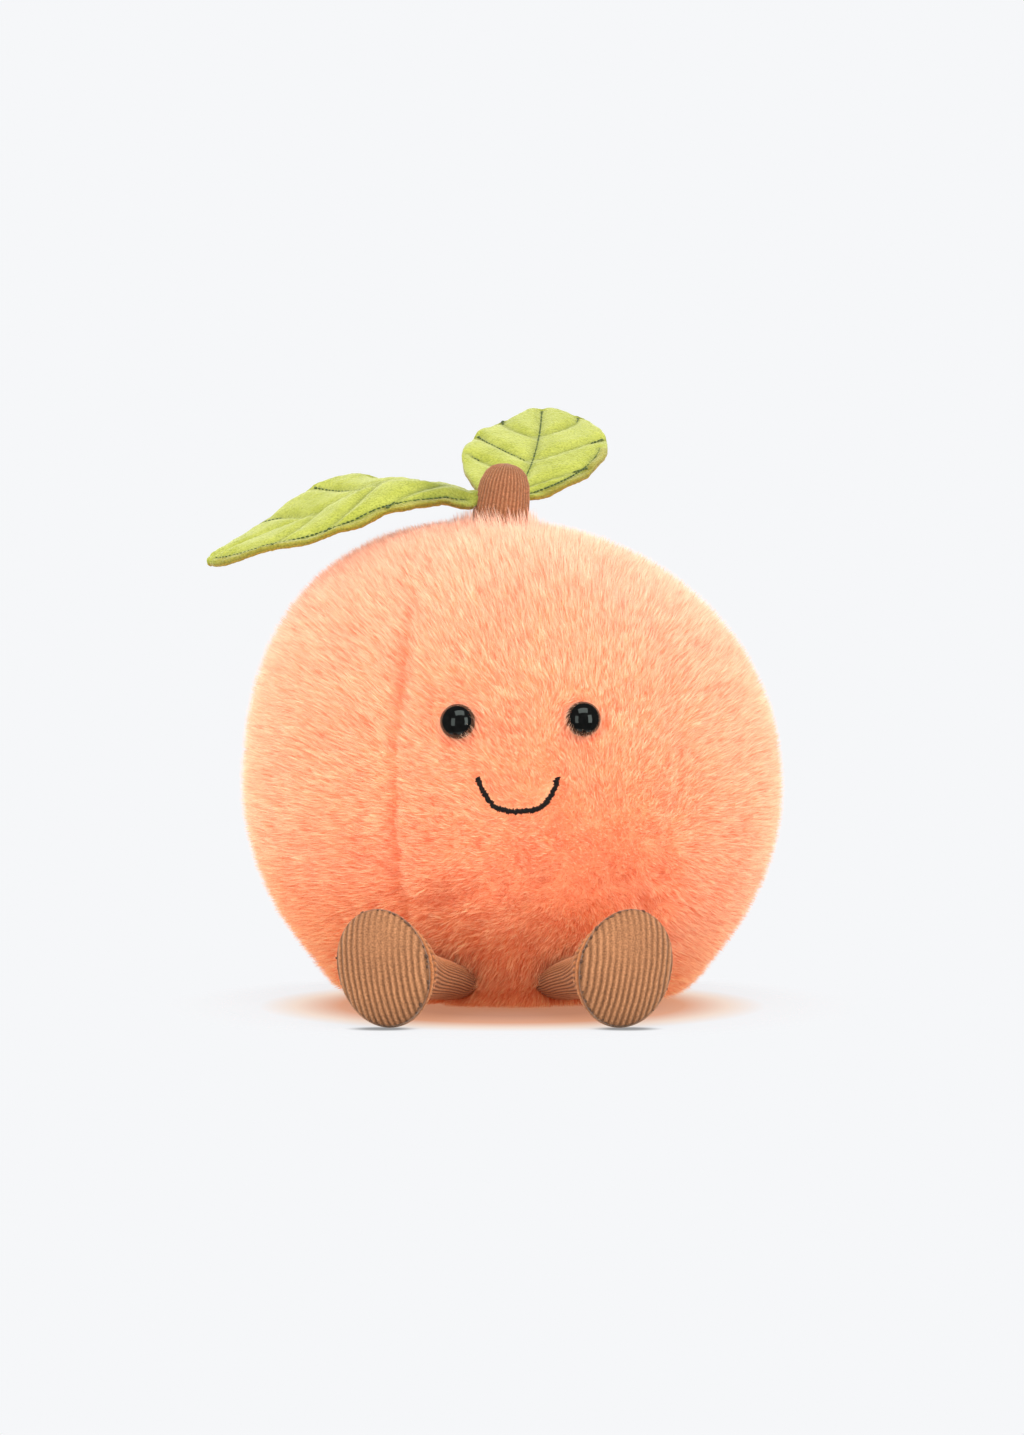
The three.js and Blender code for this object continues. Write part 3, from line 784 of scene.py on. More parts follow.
@dataclass
class Leg:
    """Stuffed needlecord leg: a flattened hip, a sleeve that widens, and a puffed sole."""

    side: str
    hip: tuple[float, float, float]
    sole: tuple[float, float, float]
    roll: float
    rib_lean: float
    rib: Rib = Rib()
    sole_half_width: float = 12.2 * MM
    sole_half_height: float = 15.6 * MM
    puff: float = 4.6 * MM
    puff_power: float = 2.5
    gap: float = 0.3 * MM
    sag: float = 1.3 * MM
    band_from: float = 0.92
    band_blend: float = 0.012
    ribs_round: int = 50
    rows: int = 64
    sole_steps: int = 96
    # Share of the leg's length, half width and half height in mm.
    profile: tuple[tuple[float, float, float], ...] = (
        (-0.34, 10.8, 4.6), (-0.12, 11.4, 5.0), (0.15, 11.4, 5.6), (0.5, 11.4, 6.6),
        (0.76, 11.9, 8.0), (0.87, 12.8, 12.4), (0.93, 13.4, 15.2), (1.0, 12.2, 15.6),
    )
    profile_steps: int = 72
    profile_rounds: int = 12
    # Seams by the band and the sole: how far they pull in, and how much darker they are, painted shade.
    seam_pull: float = 0.5 * MM
    seam_shade: float = 0.7
    over_floor: float = 0.15 * MM
    # The rubbed patch of the sole: its height over the middle, how far it reaches, and how high its
    # flattened ribs stand.
    rubbed_at: float = 7 * MM
    rubbed_reach: tuple[float, float] = (7 * MM, 7.5 * MM)
    rubbed_height: float = 0.62
    rubbed_share: float = 0.85
    rib_stray: Wave = Wave(0.16 * MM, 3.5 * MM)
    # One closing stitch in mm, half: along the seam, outwards and along the leg.
    stitch: tuple[float, float, float] = (0.5, 0.34, 0.42)
    stitches: int = 70
    stitch_seed: int = 21

    def __post_init__(self) -> None:
        """Works out the leg's directions."""
        self.start = np.array(self.hip) * MM
        self.end = np.array(self.sole) * MM
        self.length = np.linalg.norm(self.end - self.start)
        self.axis = unit(self.end - self.start)
        self.across = unit(np.cross(self.axis, (0, 0, 1)))
        self.upright = np.cross(self.across, self.axis)

    def rolled(self, x: Array, y: Array, roll: Array) -> Array:
        """Offsets across the leg for section coordinates rolled by an angle in degrees."""
        c, s = np.cos(np.radians(roll)), np.sin(np.radians(roll))
        return np.outer(x * c - y * s, self.across) + np.outer(x * s + y * c, self.upright)

    def half_sizes(self, share: Array) -> tuple[Array, Array]:
        """Half width and half height of the sleeve at shares of its length."""
        rows = np.array(self.profile)
        fine = np.linspace(rows[0, 0], rows[-1, 0], self.profile_steps)
        soft = np.array([np.interp(fine, rows[:, 0], rows[:, k]) for k in (1, 2)])
        kernel = np.array([0.25, 0.5, 0.25])
        for _ in range(self.profile_rounds):
            soft[:, 1:-1] = np.array([np.convolve(row, kernel, "same")[1:-1] for row in soft])
        return np.interp(share, fine, soft[0]) * MM, np.interp(share, fine, soft[1]) * MM

    def along(self, points: Array) -> tuple[Array, Array, Array]:
        """Share of the leg's length at points, and their offsets sideways and upwards from its axis."""
        share = (points - self.start) @ self.axis / self.length
        away = points - self.start - np.outer(share * self.length, self.axis)
        return share, away @ self.across, away @ self.upright

    def inside(self, points: Array, grow: float) -> Array:
        """Which points lie inside the sleeve, grown by a distance."""
        share, x, y = self.along(points)
        roll = np.radians(self.roll * np.clip(share, 0, 1))
        x, y = x * np.cos(roll) + y * np.sin(roll), -x * np.sin(roll) + y * np.cos(roll)
        wide, high = self.half_sizes(share)
        within = (x / (wide + grow)) ** 2 + (y / (high + grow)) ** 2 < 1
        return within & (share > self.profile[0][0]) & (share < 1.1)

    def over(self, points: Array) -> Array:
        """How close points lie over the top of the sleeve, 0 to 1."""
        share, x, y = self.along(points)
        wide, high = self.half_sizes(share)
        gap = (np.hypot(x / wide, y / high) - 1) * high
        return bump(np.maximum(gap, 0), 4 * MM) * smooth(y / high) * (share > -0.5) * (share < 1)

    def build_sleeve(self, material: Material) -> Object:
        """The sleeve: ribs along its length, then a band by the sole with ribs round it."""

        def place(u: Array, v: Array) -> tuple[Array, dict[str, Array]]:
            """The sleeve's points, and how high each lies on its rib, darkened at the seams as painted shade.
            """
            share = self.profile[0][0] + (1 - self.profile[0][0]) * v
            wide, high = self.half_sizes(share)
            angle = u * math.tau
            length_ribs = self.rib.height(u * self.ribs_round * self.rib.pitch)
            band_ribs = self.rib.height((share - 1) * self.length)
            banded = smooth((share - self.band_from) / self.band_blend + 0.5)
            height = length_ribs * (1 - banded) + band_ribs * banded
            seam = bump(share - self.band_from, 0.014) + bump(share - 1.0, 0.02)
            rise = self.rib.depth * (height - 1) - self.seam_pull * seam
            x, y = (wide + rise) * np.cos(angle), (high + rise) * np.sin(angle)
            points = self.start + np.outer(share * self.length, self.axis)
            points = points + self.rolled(x, y, self.roll * np.clip(share, 0, 1))
            points[:, 2] -= self.sag * bump(share - 0.62, 0.36)
            points[:, 2] = np.maximum(points[:, 2], self.over_floor)
            # Lower at the seams, so darker: painted shade.
            return points, {Rib.HEIGHT_AND_SHADE: height * (1 - self.seam_shade * np.clip(seam, 0, 1))}

        sleeve = cloth_patch(f"leg_{self.side}_sleeve", self.ribs_round * 5, self.rows, place)
        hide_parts(f"leg_{self.side}_cover")
        return dress(sleeve, material)

    def build_sole(self, material: Material) -> Object:
        """The puffed sole: ribs that bend with its outer edge, rubbed flat near the top."""

        def place(u: Array, v: Array) -> tuple[Array, dict[str, Array]]:
            """The sole's points, and how high each lies on its rib, darker towards its edge as painted shade.
            """
            a, b = u * 2 - 1, v * 2 - 1
            x, y = a * np.sqrt(1 - b * b / 2), b * np.sqrt(1 - a * a / 2)
            spread = np.clip(np.hypot(x, y), 0, 1)
            dome = np.sqrt(np.clip(1 - spread**self.puff_power, 0, 1))
            flat = self.rolled(x * self.sole_half_width, y * self.sole_half_height, self.roll)
            level, upright = flat @ self.across, flat @ self.upright
            across = level + self.rib_lean * upright * (1 - upright / (2 * self.sole_half_height))
            height = self.rib.height(across + self.rib_stray.at(flat)[:, 0])
            worn = bump(level, self.rubbed_reach[0]) * bump(upright - self.rubbed_at, self.rubbed_reach[1])
            height = height + (self.rubbed_height - height) * self.rubbed_share * worn
            edge = smooth((1 - spread) / 0.06)
            rise = self.gap + self.puff * dome + self.rib.depth * (height - 1) * edge
            # Towards the edge the colour darkens: painted shade where the sole puffs into its seam.
            return self.end + flat + np.outer(rise, self.axis), {Rib.HEIGHT_AND_SHADE: height * (0.35 + 0.65 * edge)}

        sole = cloth_patch(f"leg_{self.side}_pad", self.sole_steps, self.sole_steps, place)
        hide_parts(f"leg_{self.side}_sole")
        return dress(sole, material)

    def build_stitches(self, material: Material) -> Object:
        """The small uneven stitches that close the sole to the sleeve, deepest on the inner side."""
        rng = np.random.default_rng(self.stitch_seed)
        inwards = 1 if self.side == "right" else -1
        wide, high = self.sole_half_width, self.sole_half_height
        bm = bmesh.new()
        for angle in np.arange(self.stitches) / self.stitches * math.tau:
            c, s = np.array([math.cos(angle)]), np.array([math.sin(angle)])
            radial = self.rolled(wide * c, high * s, self.roll)[0]
            onward = unit(self.rolled(-wide * s, high * c, self.roll)[0])
            inner = smooth(0.55 + 0.6 * math.cos(angle) * inwards)
            size = (0.5 + 0.7 * inner) * (1 + 0.3 * rng.normal())
            middle = self.end + radial * (0.965 + 0.014 * rng.normal())
            middle = middle + self.axis * (1.1 + 0.15 * rng.normal()) * MM
            sides = np.array([onward, unit(radial), self.axis]) * np.array(self.stitch)[:, None] * size * MM
            for corner in bmesh.ops.create_icosphere(bm, subdivisions=1, radius=1)["verts"]:
                corner.co = Vector(middle + np.array(corner.co) @ sides)
        return dress(piece_from(bm, f"leg_{self.side}_stitches"), material)


@dataclass
class Stem:
    """Stuffed needlecord stem with a rounded top."""

    foot: tuple[float, float, float] = (-4.1, 0, 124)
    top: tuple[float, float, float] = (-1.2, 0, 145.4)
    rib: Rib = Rib(pitch=1.2 * MM, depth=0.24 * MM)
    # Share of the stem's length and half width in mm.
    profile: tuple[tuple[float, float], ...] = (
        (0, 8), (0.3, 7.7), (0.55, 7.4), (0.75, 6.8), (0.88, 5.6), (0.95, 4.1), (0.985, 2.3), (1.0, 0.0),
    )
    ribs_round: int = 40
    rows: int = 36
    ribs_fade: float = 2.5 * MM
    foot_depth: float = 20 * MM

    def __post_init__(self) -> None:
        """Works out the stem's directions."""
        self.start, self.end = np.array(self.foot) * MM, np.array(self.top) * MM
        self.length = np.linalg.norm(self.end - self.start)
        self.axis = unit(self.end - self.start)
        self.across = unit(np.cross((0, 1, 0), self.axis))
        self.back = np.cross(self.axis, self.across)

    def around(self, points: Array) -> tuple[Array, Array]:
        """Distance and direction of points from the stem's axis; far off well below its foot."""
        height = (points - self.start) @ self.axis
        flat = points - self.start - np.outer(height, self.axis)
        return np.where(height > -self.foot_depth, np.linalg.norm(flat, axis=1), 1.0), unit(flat)

    def build(self, material: Material) -> Object:
        """The ribbed cover, closed over its top."""
        rows = np.array(self.profile)

        def place(u: Array, v: Array) -> tuple[Array, dict[str, Array]]:
            """The stem's points, and how high each lies on its rib."""
            eased = 1 - (1 - v) ** 1.6
            radius = np.interp(eased, rows[:, 0], rows[:, 1]) * MM
            height = self.rib.height(u * self.ribs_round * self.rib.pitch)
            radius = np.maximum(radius + self.rib.depth * (height - 1) * smooth(radius / self.ribs_fade), 0)
            angle = u * math.tau
            middle = self.start + np.outer(eased * self.length, self.axis)
            across = np.outer(radius * np.cos(angle), self.across)
            back = np.outer(radius * np.sin(angle), self.back)
            return middle + across + back, {Rib.HEIGHT_AND_SHADE: height}

        cover = cloth_patch("stem_cord", self.ribs_round * 6, self.rows, place)
        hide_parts("stem_cover")
        return dress(cover, material)


# ---------------------------------------------------------------- leaves
@dataclass(frozen=True)
class Station:
    """Place on a leaf's midrib, in mm, and the rise of its near and far half per mm of half width."""

    at: float
    mid: tuple[float, float, float]
    near: float
    far: float


@dataclass(frozen=True)
class Vein:
    """Side vein: where it leaves the midrib and ends, its half, and from where its thread shows."""

    start: float
    end: float
    half: int
    shows: float = 0.8


@dataclass(frozen=True)
class Hem:
    """Seam along part of a leaf's edge, inside its rolled rim."""

    half: int
    start: float
    end: float
    inset: float = 2.5 * MM


@dataclass
class Leaf:
    """Two layers of velour sewn together at the edge and quilted along the veins."""

    PAINTED_SHADE = "painted_shade"
    UNDER = "under_layer"

    side: str
    across: tuple[float, float, float]
    stations: tuple[Station, ...]
    veins: tuple[Vein, ...]
    hem: Hem
    midrib_thread: float
    half_width: float = 20.4 * MM
    root_half: float = 3 * MM
    tip_half: float = 1.7 * MM
    fullness: float = 0.65
    half_thick: float = 2.0 * MM
    thread: float = 0.24 * MM
    fuzz: Wave = Wave(0.16 * MM, 1.3 * MM)
    waviness: Wave = Wave(0.9 * MM, 8 * MM)
    reach: float = 0.93
    quilt_reach: float = 1.9 * MM
    quilt_depth: float = 0.70
    crease: float = 0.75 * MM
    # Painted shade: how much darker the cloth is in the creases, at the sewn edge, at the rim and where it
    # curls.
    crease_shade: float = 0.42
    edge_shade: float = 0.5
    rim_shade: float = 0.25
    curl_shade: float = 0.4
    columns: int = 120
    rows: int = 130
    fine_steps: int = 400
    stitch_step: float = 1.3 * MM
    # Half of one running stitch: along the line and upwards; and how far it slants.
    stitch_half: float = 0.62 * MM
    stitch_rise: float = 0.3 * MM
    stitch_slant: float = 0.12 * MM
    finest_thread: float = 0.07 * MM
    stitch_seed: int = 5

    def width_at(self, share: Array) -> Array:
        """Half width at shares of the length."""
        blade = self.half_width * np.clip(np.sin(math.pi * share), 0, None) ** self.fullness
        return np.maximum(blade, np.where(share < 0.5, self.root_half, self.tip_half))

    def midrib(self, share: Array) -> Array:
        """Points of the midrib, on one smooth centripetal curve through the stations."""
        knots = np.array([s.mid for s in self.stations], float) * MM
        ends = np.array([s.at for s in self.stations])
        padded = np.vstack([2 * knots[0] - knots[1], knots, 2 * knots[-1] - knots[-2]])
        i = np.clip(np.searchsorted(ends, share, side="left") - 1, 0, len(ends) - 2)
        t = np.clip((share - ends[i]) / (ends[i + 1] - ends[i]), 0, 1)[:, None]
        p0, p1, p2, p3 = (padded[i + k] for k in range(4))
        d0, d1, d2 = (
            np.linalg.norm(b - a, axis=1, keepdims=True) ** 0.5 for a, b in ((p0, p1), (p1, p2), (p2, p3))
        )
        t1 = ((p1 - p0) / d0 - (p2 - p0) / (d0 + d1) + (p2 - p1) / d1) * d1
        t2 = ((p2 - p1) / d1 - (p3 - p1) / (d1 + d2) + (p3 - p2) / d2) * d1
        return p1 + t1 * t + (3 * (p2 - p1) - 2 * t1 - t2) * t**2 + (2 * (p1 - p2) + t1 + t2) * t**3

    def sheet(self, share: Array, side: Array) -> Array:
        """Points of the middle sheet: share of the length, and -1..1 from the near to the far edge."""
        share, side = np.broadcast_arrays(np.asarray(share, float), np.asarray(side, float))
        ends = [s.at for s in self.stations]
        near = np.interp(share, ends, [s.near for s in self.stations])
        far = np.interp(share, ends, [s.far for s in self.stations])
        slope = np.where(side < 0, near, far)
        run = self.width_at(share) / np.hypot(1, slope)
        points = self.midrib(share) + np.outer(side * run, self.across)
        points[:, 2] += slope * run * np.abs(side) ** 1.25
        return points

    def normal(self, share: Array, side: Array) -> Array:
        """Upward directions of the middle sheet."""
        low, edge = np.clip(share, 0.04, 0.96), np.clip(side, -0.9, 0.9)
        along = self.sheet(low + 0.02, edge) - self.sheet(low - 0.02, edge)
        over = self.sheet(low, edge + 0.1) - self.sheet(low, edge - 0.1)
        normal = unit(np.cross(along, over))
        return normal * np.where(normal[:, 2:] < 0, -1.0, 1.0)

    def hem_side(self, share: Array) -> Array:
        """Where the hem lies across the leaf, 0 at the midrib to 1 at the edge."""
        return 1 - self.hem.inset / np.maximum(self.width_at(share), 2 * self.hem.inset)

    def stitch_lines(self, count: int = 60) -> list[tuple[Array, Array, Array]]:
        """The midrib, the side veins and the hem, each as its shares, its sides and its thread's radius."""
        steps = np.linspace(0, 1, count)
        midrib = self.midrib_thread * (1 + 0.8 * smooth((steps - 0.965) / 0.02))
        lines = [(0.06 + 0.92 * steps, np.zeros(count), midrib)]
        for vein in self.veins:
            thread = self.thread * smooth((steps - vein.shows) / 0.08 + 0.5)
            thread = thread * (1 + 1.1 * smooth((steps - 0.9) / 0.05))
            share = vein.start + (vein.end - vein.start) * steps
            lines.append((share, vein.half * self.reach * steps**0.9, thread))
        share = self.hem.start + (self.hem.end - self.hem.start) * steps
        lines.append((share, self.hem.half * self.hem_side(share), np.full(count, 0.55 * self.thread)))
        return lines

    def build(self, material: Material) -> Object:
        """The quilted blade, closed round its edge."""
        stitched = np.vstack([self.sheet(share, side) for share, side, _ in self.stitch_lines()])
        hem = self.hem
        curls = 1 if self.side == "left" else 0

        def place(u: Array, v: Array) -> tuple[Array, dict[str, Array]]:
            """The blade's points, how much painted shade each has, and which layer it is on."""
            angle = u * math.tau
            side = np.clip(np.sign(np.cos(angle)) * np.abs(np.cos(angle)) ** 0.75, -1, 1)
            share = 0.5 - 0.5 * np.cos(math.pi * v)
            plump = np.sign(np.sin(angle)) * np.abs(np.sin(angle)) ** 0.5
            middle, up = self.sheet(share, side), self.normal(share, side)
            gaps = np.array([np.min(np.linalg.norm(stitched - p, axis=1)) for p in middle])
            pull = bump(gaps, self.quilt_reach) * (np.abs(side) < 0.99)
            ends = smooth(v / 0.05) * smooth((1 - v) / 0.05)
            thick = self.half_thick * (0.35 + 0.65 * ends) * (1 - self.quilt_depth * pull)
            along = smooth((share - hem.start) / 0.06) * smooth((hem.end - share) / 0.06 + 0.5)
            rim = smooth((side * hem.half - self.hem_side(share)) / 0.05) * along
            rough = self.fuzz.at(middle + up * plump[:, None] * self.half_thick) * (1 + 0.8 * rim)[:, None]
            wavy = self.waviness.at(middle) * smooth((np.abs(side) - 0.6) / 0.4)[:, None]
            points = middle + up * (plump * thick)[:, None] + rough + wavy
            under = np.maximum(smooth(0.5 - (plump + 0.05) / 0.6), 0.35 * rim)
            sewn = bump(plump, 0.16) * (np.abs(side) > 0.9)
            curled = smooth((0.27 - share) / 0.12) * smooth(0.7 - side) * curls
            creased = bump(gaps, self.crease) * self.crease_shade * (plump > 0)
            # Painted shade in the creases, at the sewn edge, at the rim and where the leaf curls.
            dark = creased + self.edge_shade * sewn + self.rim_shade * rim + self.curl_shade * curled
            return points, {self.PAINTED_SHADE: np.clip(dark, 0, 1), self.UNDER: under}

        blade = cloth_patch(f"leaf_{self.side}", self.columns, self.rows, place)
        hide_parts(f"leaf_{self.side}_top", f"leaf_{self.side}_under")
        return dress(blade, material)

    def build_stitching(self, material: Material) -> Object:
        """The running stitches of the midrib, the veins and the hem."""
        rng = np.random.default_rng(self.stitch_seed)
        bm = bmesh.new()
        for share, side, thread in self.stitch_lines(self.fine_steps):
            up = self.normal(share, side)
            line = self.sheet(share, side) + up * (0.30 * self.half_thick)
            along = np.concatenate([[0], np.cumsum(np.linalg.norm(np.diff(line, axis=0), axis=1))])
            for start in np.arange(0, along[-1], self.stitch_step):
                k = int(np.searchsorted(along, start + (0.5 + 0.3 * rng.random()) * MM))
                if k >= len(line) - 1:
                    break
                if thread[k] < self.finest_thread:
                    continue
                onward = unit(line[min(k + 4, len(line) - 1)] - line[max(k - 4, 0)])
                over = np.cross(onward, up[k])
                size = thread[k] * (1 + 0.2 * rng.normal())
                for corner in bmesh.ops.create_icosphere(bm, subdivisions=1, radius=1)["verts"]:
                    x, y, z = corner.co
                    slanted = onward * (x * self.stitch_half) + over * (y * size + self.stitch_slant * x)
                    corner.co = Vector(line[k] + slanted + up[k] * (z * self.stitch_rise))
        stitching = piece_from(bm, f"leaf_{self.side}_stitching")
        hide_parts(f"leaf_{self.side}_veins")
        return dress(stitching, material)


# ---------------------------------------------------------------- body
@dataclass
class BodyCloth:
    """The stuffed body's cloth under the pile."""

    form: PeachForm
    depth: float = 4.6 * MM
    base_depth: float = 2.2 * MM
    groove: float = 0.6 * MM
    groove_reach: float = 3.5 * MM
    arch_share: float = 0.5
    voxel: float = 5 * MM
    pressure: float = 4.0
    frames: int = 20
    most_swell: float = 2.0 * MM
    shrink: float = 0.8 * MM
    over_floor: float = 1.0 * MM

    def sewn(self) -> Object:
        """The cover as cut and sewn, a little smaller than the stuffed one."""
        bm = bmesh.new()
        bmesh.ops.create_uvsphere(bm, u_segments=96, v_segments=64, radius=1)
        ball = np.array([v.co for v in bm.verts])
        azimuth = np.arctan2(ball[:, 0], -ball[:, 1])
        latitude = np.degrees(np.arcsin(np.clip(ball[:, 2], -1, 1)))
        egg = self.form.point(azimuth, latitude)
        flat = smooth((8 * MM - egg[:, 2]) / (8 * MM))
        depth = self.depth + (self.base_depth - self.depth) * flat + self.shrink
        points = egg - self.form.normal(azimuth, latitude) * depth[:, None]
        for corner, point in zip(bm.verts, points, strict=True):
            corner.co = point
        cloth = piece_from(bm, "body_cloth")
        remesh = cloth.modifiers.new("even", "REMESH")
        remesh.mode = "VOXEL"
        remesh.voxel_size = self.voxel
        settle(cloth)
        return cloth

    def stuff(self, cloth: Object) -> None:
        """Blows the cover up with the cloth solver, no further than the stuffing would."""
        scene = bpy.context.scene
        before = corners(cloth.data)
        solver = cloth.modifiers.new("stuffing", "CLOTH")
        solver.settings.use_pressure = True
        solver.settings.uniform_pressure_force = self.pressure
        solver.settings.effector_weights.gravity = 0
        solver.settings.quality = 5
        solver.point_cache.frame_start, solver.point_cache.frame_end = 1, self.frames
        for number in range(1, self.frames + 1):
            scene.frame_set(number)
        settle(cloth)
        scene.frame_set(1)
        moved = corners(cloth.data) - before
        far = np.linalg.norm(moved, axis=1, keepdims=True)
        moved *= np.minimum(1, self.most_swell / np.maximum(far, 1e-9))
        cloth.data.vertices.foreach_set("co", (before + moved).ravel())
        cloth.data.update()

    def build(self, material: Material) -> Object:
        """Sews, stuffs and smooths the cover, then pulls its seams in."""
        cloth = self.sewn()
        self.stuff(cloth)
        fine = cloth.modifiers.new("fine", "SUBSURF")
        fine.levels = fine.render_levels = 1
        settle(cloth)
        points = corners(cloth.data)
        azimuth, latitude = self.form.locate(points)
        offset, _ = self.form.seam_offset(azimuth, latitude)
        upright = bump(offset, self.groove_reach) * smooth((latitude + 50) / 20)
        between = self.form.past_arch(azimuth) > 0
        arch = bump(self.form.arch_offset(azimuth, latitude), self.groove_reach) * between * self.arch_share
        pull = self.groove * np.maximum(upright, arch)
        points -= self.form.normal(azimuth, latitude) * pull[:, None]
        points[:, 2] = np.maximum(points[:, 2], self.over_floor)
        cloth.data.vertices.foreach_set("co", points.ravel())
        cloth.data.update()
        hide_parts(*[panel.value for panel in Panel])
        return dress(cloth, material)


# ---------------------------------------------------------------- the fur
class HairBlade(Enum):
    """How a hair is jointed: the number of steps along it."""

    BENT = 2
    STRAIGHT = 1

    def faces(self) -> list[list[int]]:
        """Faces of one blade: a strip drawn to a point at its tip, and at its root too if it is bent."""
        bm = bmesh.new()
        bmesh.ops.create_grid(bm, x_segments=1, y_segments=self.value, size=1)
        bmesh.ops.pointmerge(bm, verts=[v for v in bm.verts if v.co.y > 0.99], merge_co=(0, 1, 0))
        if self is HairBlade.BENT:
            bmesh.ops.pointmerge(bm, verts=[v for v in bm.verts if v.co.y < -0.99], merge_co=(0, -1, 0))
        order = sorted(bm.verts, key=lambda v: (round(v.co.y, 3), v.co.x))
        rank = {corner: number for number, corner in enumerate(order)}
        faces = sorted(([rank[v] for v in face.verts] for face in bm.faces), key=min)
        bm.free()
        return faces


@dataclass(frozen=True)
class Hairs:
    """Hairs of one kind: each blade's corners with their dyes, and the panel that it grows on."""

    blade: HairBlade
    corners: Array
    dyes: Array
    panels: Array

    def on(self, panel: int) -> "Hairs":
        """Those that grow on one panel."""
        chosen = self.panels == panel
        return Hairs(self.blade, self.corners[chosen], self.dyes[chosen], self.panels[chosen])


@dataclass(frozen=True)
class FurColourAtHeight:
    """Colour of the fur at a height over the floor in mm, at the tip and the root. Lower down it is darker
    and redder, painted shade; the darker roots are the fur's tip-dyeing and partly painted shade deep in the
    pile.
    """

    height: float
    tip: Colour
    root: Colour


def stamp(name: str, points: Array, loops: Array, totals: Array) -> Mesh:
    """A mesh from many stamped copies of one small shape.

    Args:
        name: Name of the mesh.
        points: Its corners.
        loops: The corner of each loop.
        totals: How many loops each face has.

    Returns:
        The mesh.
    """
    mesh = bpy.data.meshes.new(name)
    mesh.vertices.add(len(points))
    mesh.vertices.foreach_set("co", points.ravel())
    mesh.loops.add(len(loops))
    mesh.loops.foreach_set("vertex_index", loops)
    mesh.polygons.add(len(totals))
    mesh.polygons.foreach_set("loop_start", np.concatenate([[0], np.cumsum(totals)[:-1]]))
    mesh.update(calc_edges=True)
    return mesh


def fur_mesh(name: str, coats: Sequence[Hairs]) -> Mesh:
    """One mesh of all the hairs in some coats, with their dyes.

    Args:
        name: Name of the mesh.
        coats: The hairs, kind by kind.

    Returns:
        The mesh.
    """
    loops, totals, start = [], [], 0
    for hairs in coats:
        faces = hairs.blade.faces()
        count, size = hairs.corners.shape[:2]
        offsets = start + np.arange(count)[:, None] * size
        loops.append((offsets + np.concatenate(faces)).ravel())
        totals.append(np.tile([len(face) for face in faces], count))
        start += count * size
    points = np.vstack([hairs.corners.reshape(-1, 3) for hairs in coats])
    dyes = np.vstack([hairs.dyes.reshape(-1, 3) for hairs in coats])
    mesh = stamp(name, points, np.concatenate(loops), np.concatenate(totals))
    layer = mesh.color_attributes.new(PileCoat.COLOUR, "FLOAT_COLOR", "POINT")
    layer.data.foreach_set("color", np.hstack([dyes, np.ones((len(dyes), 1))]).ravel())
    return mesh


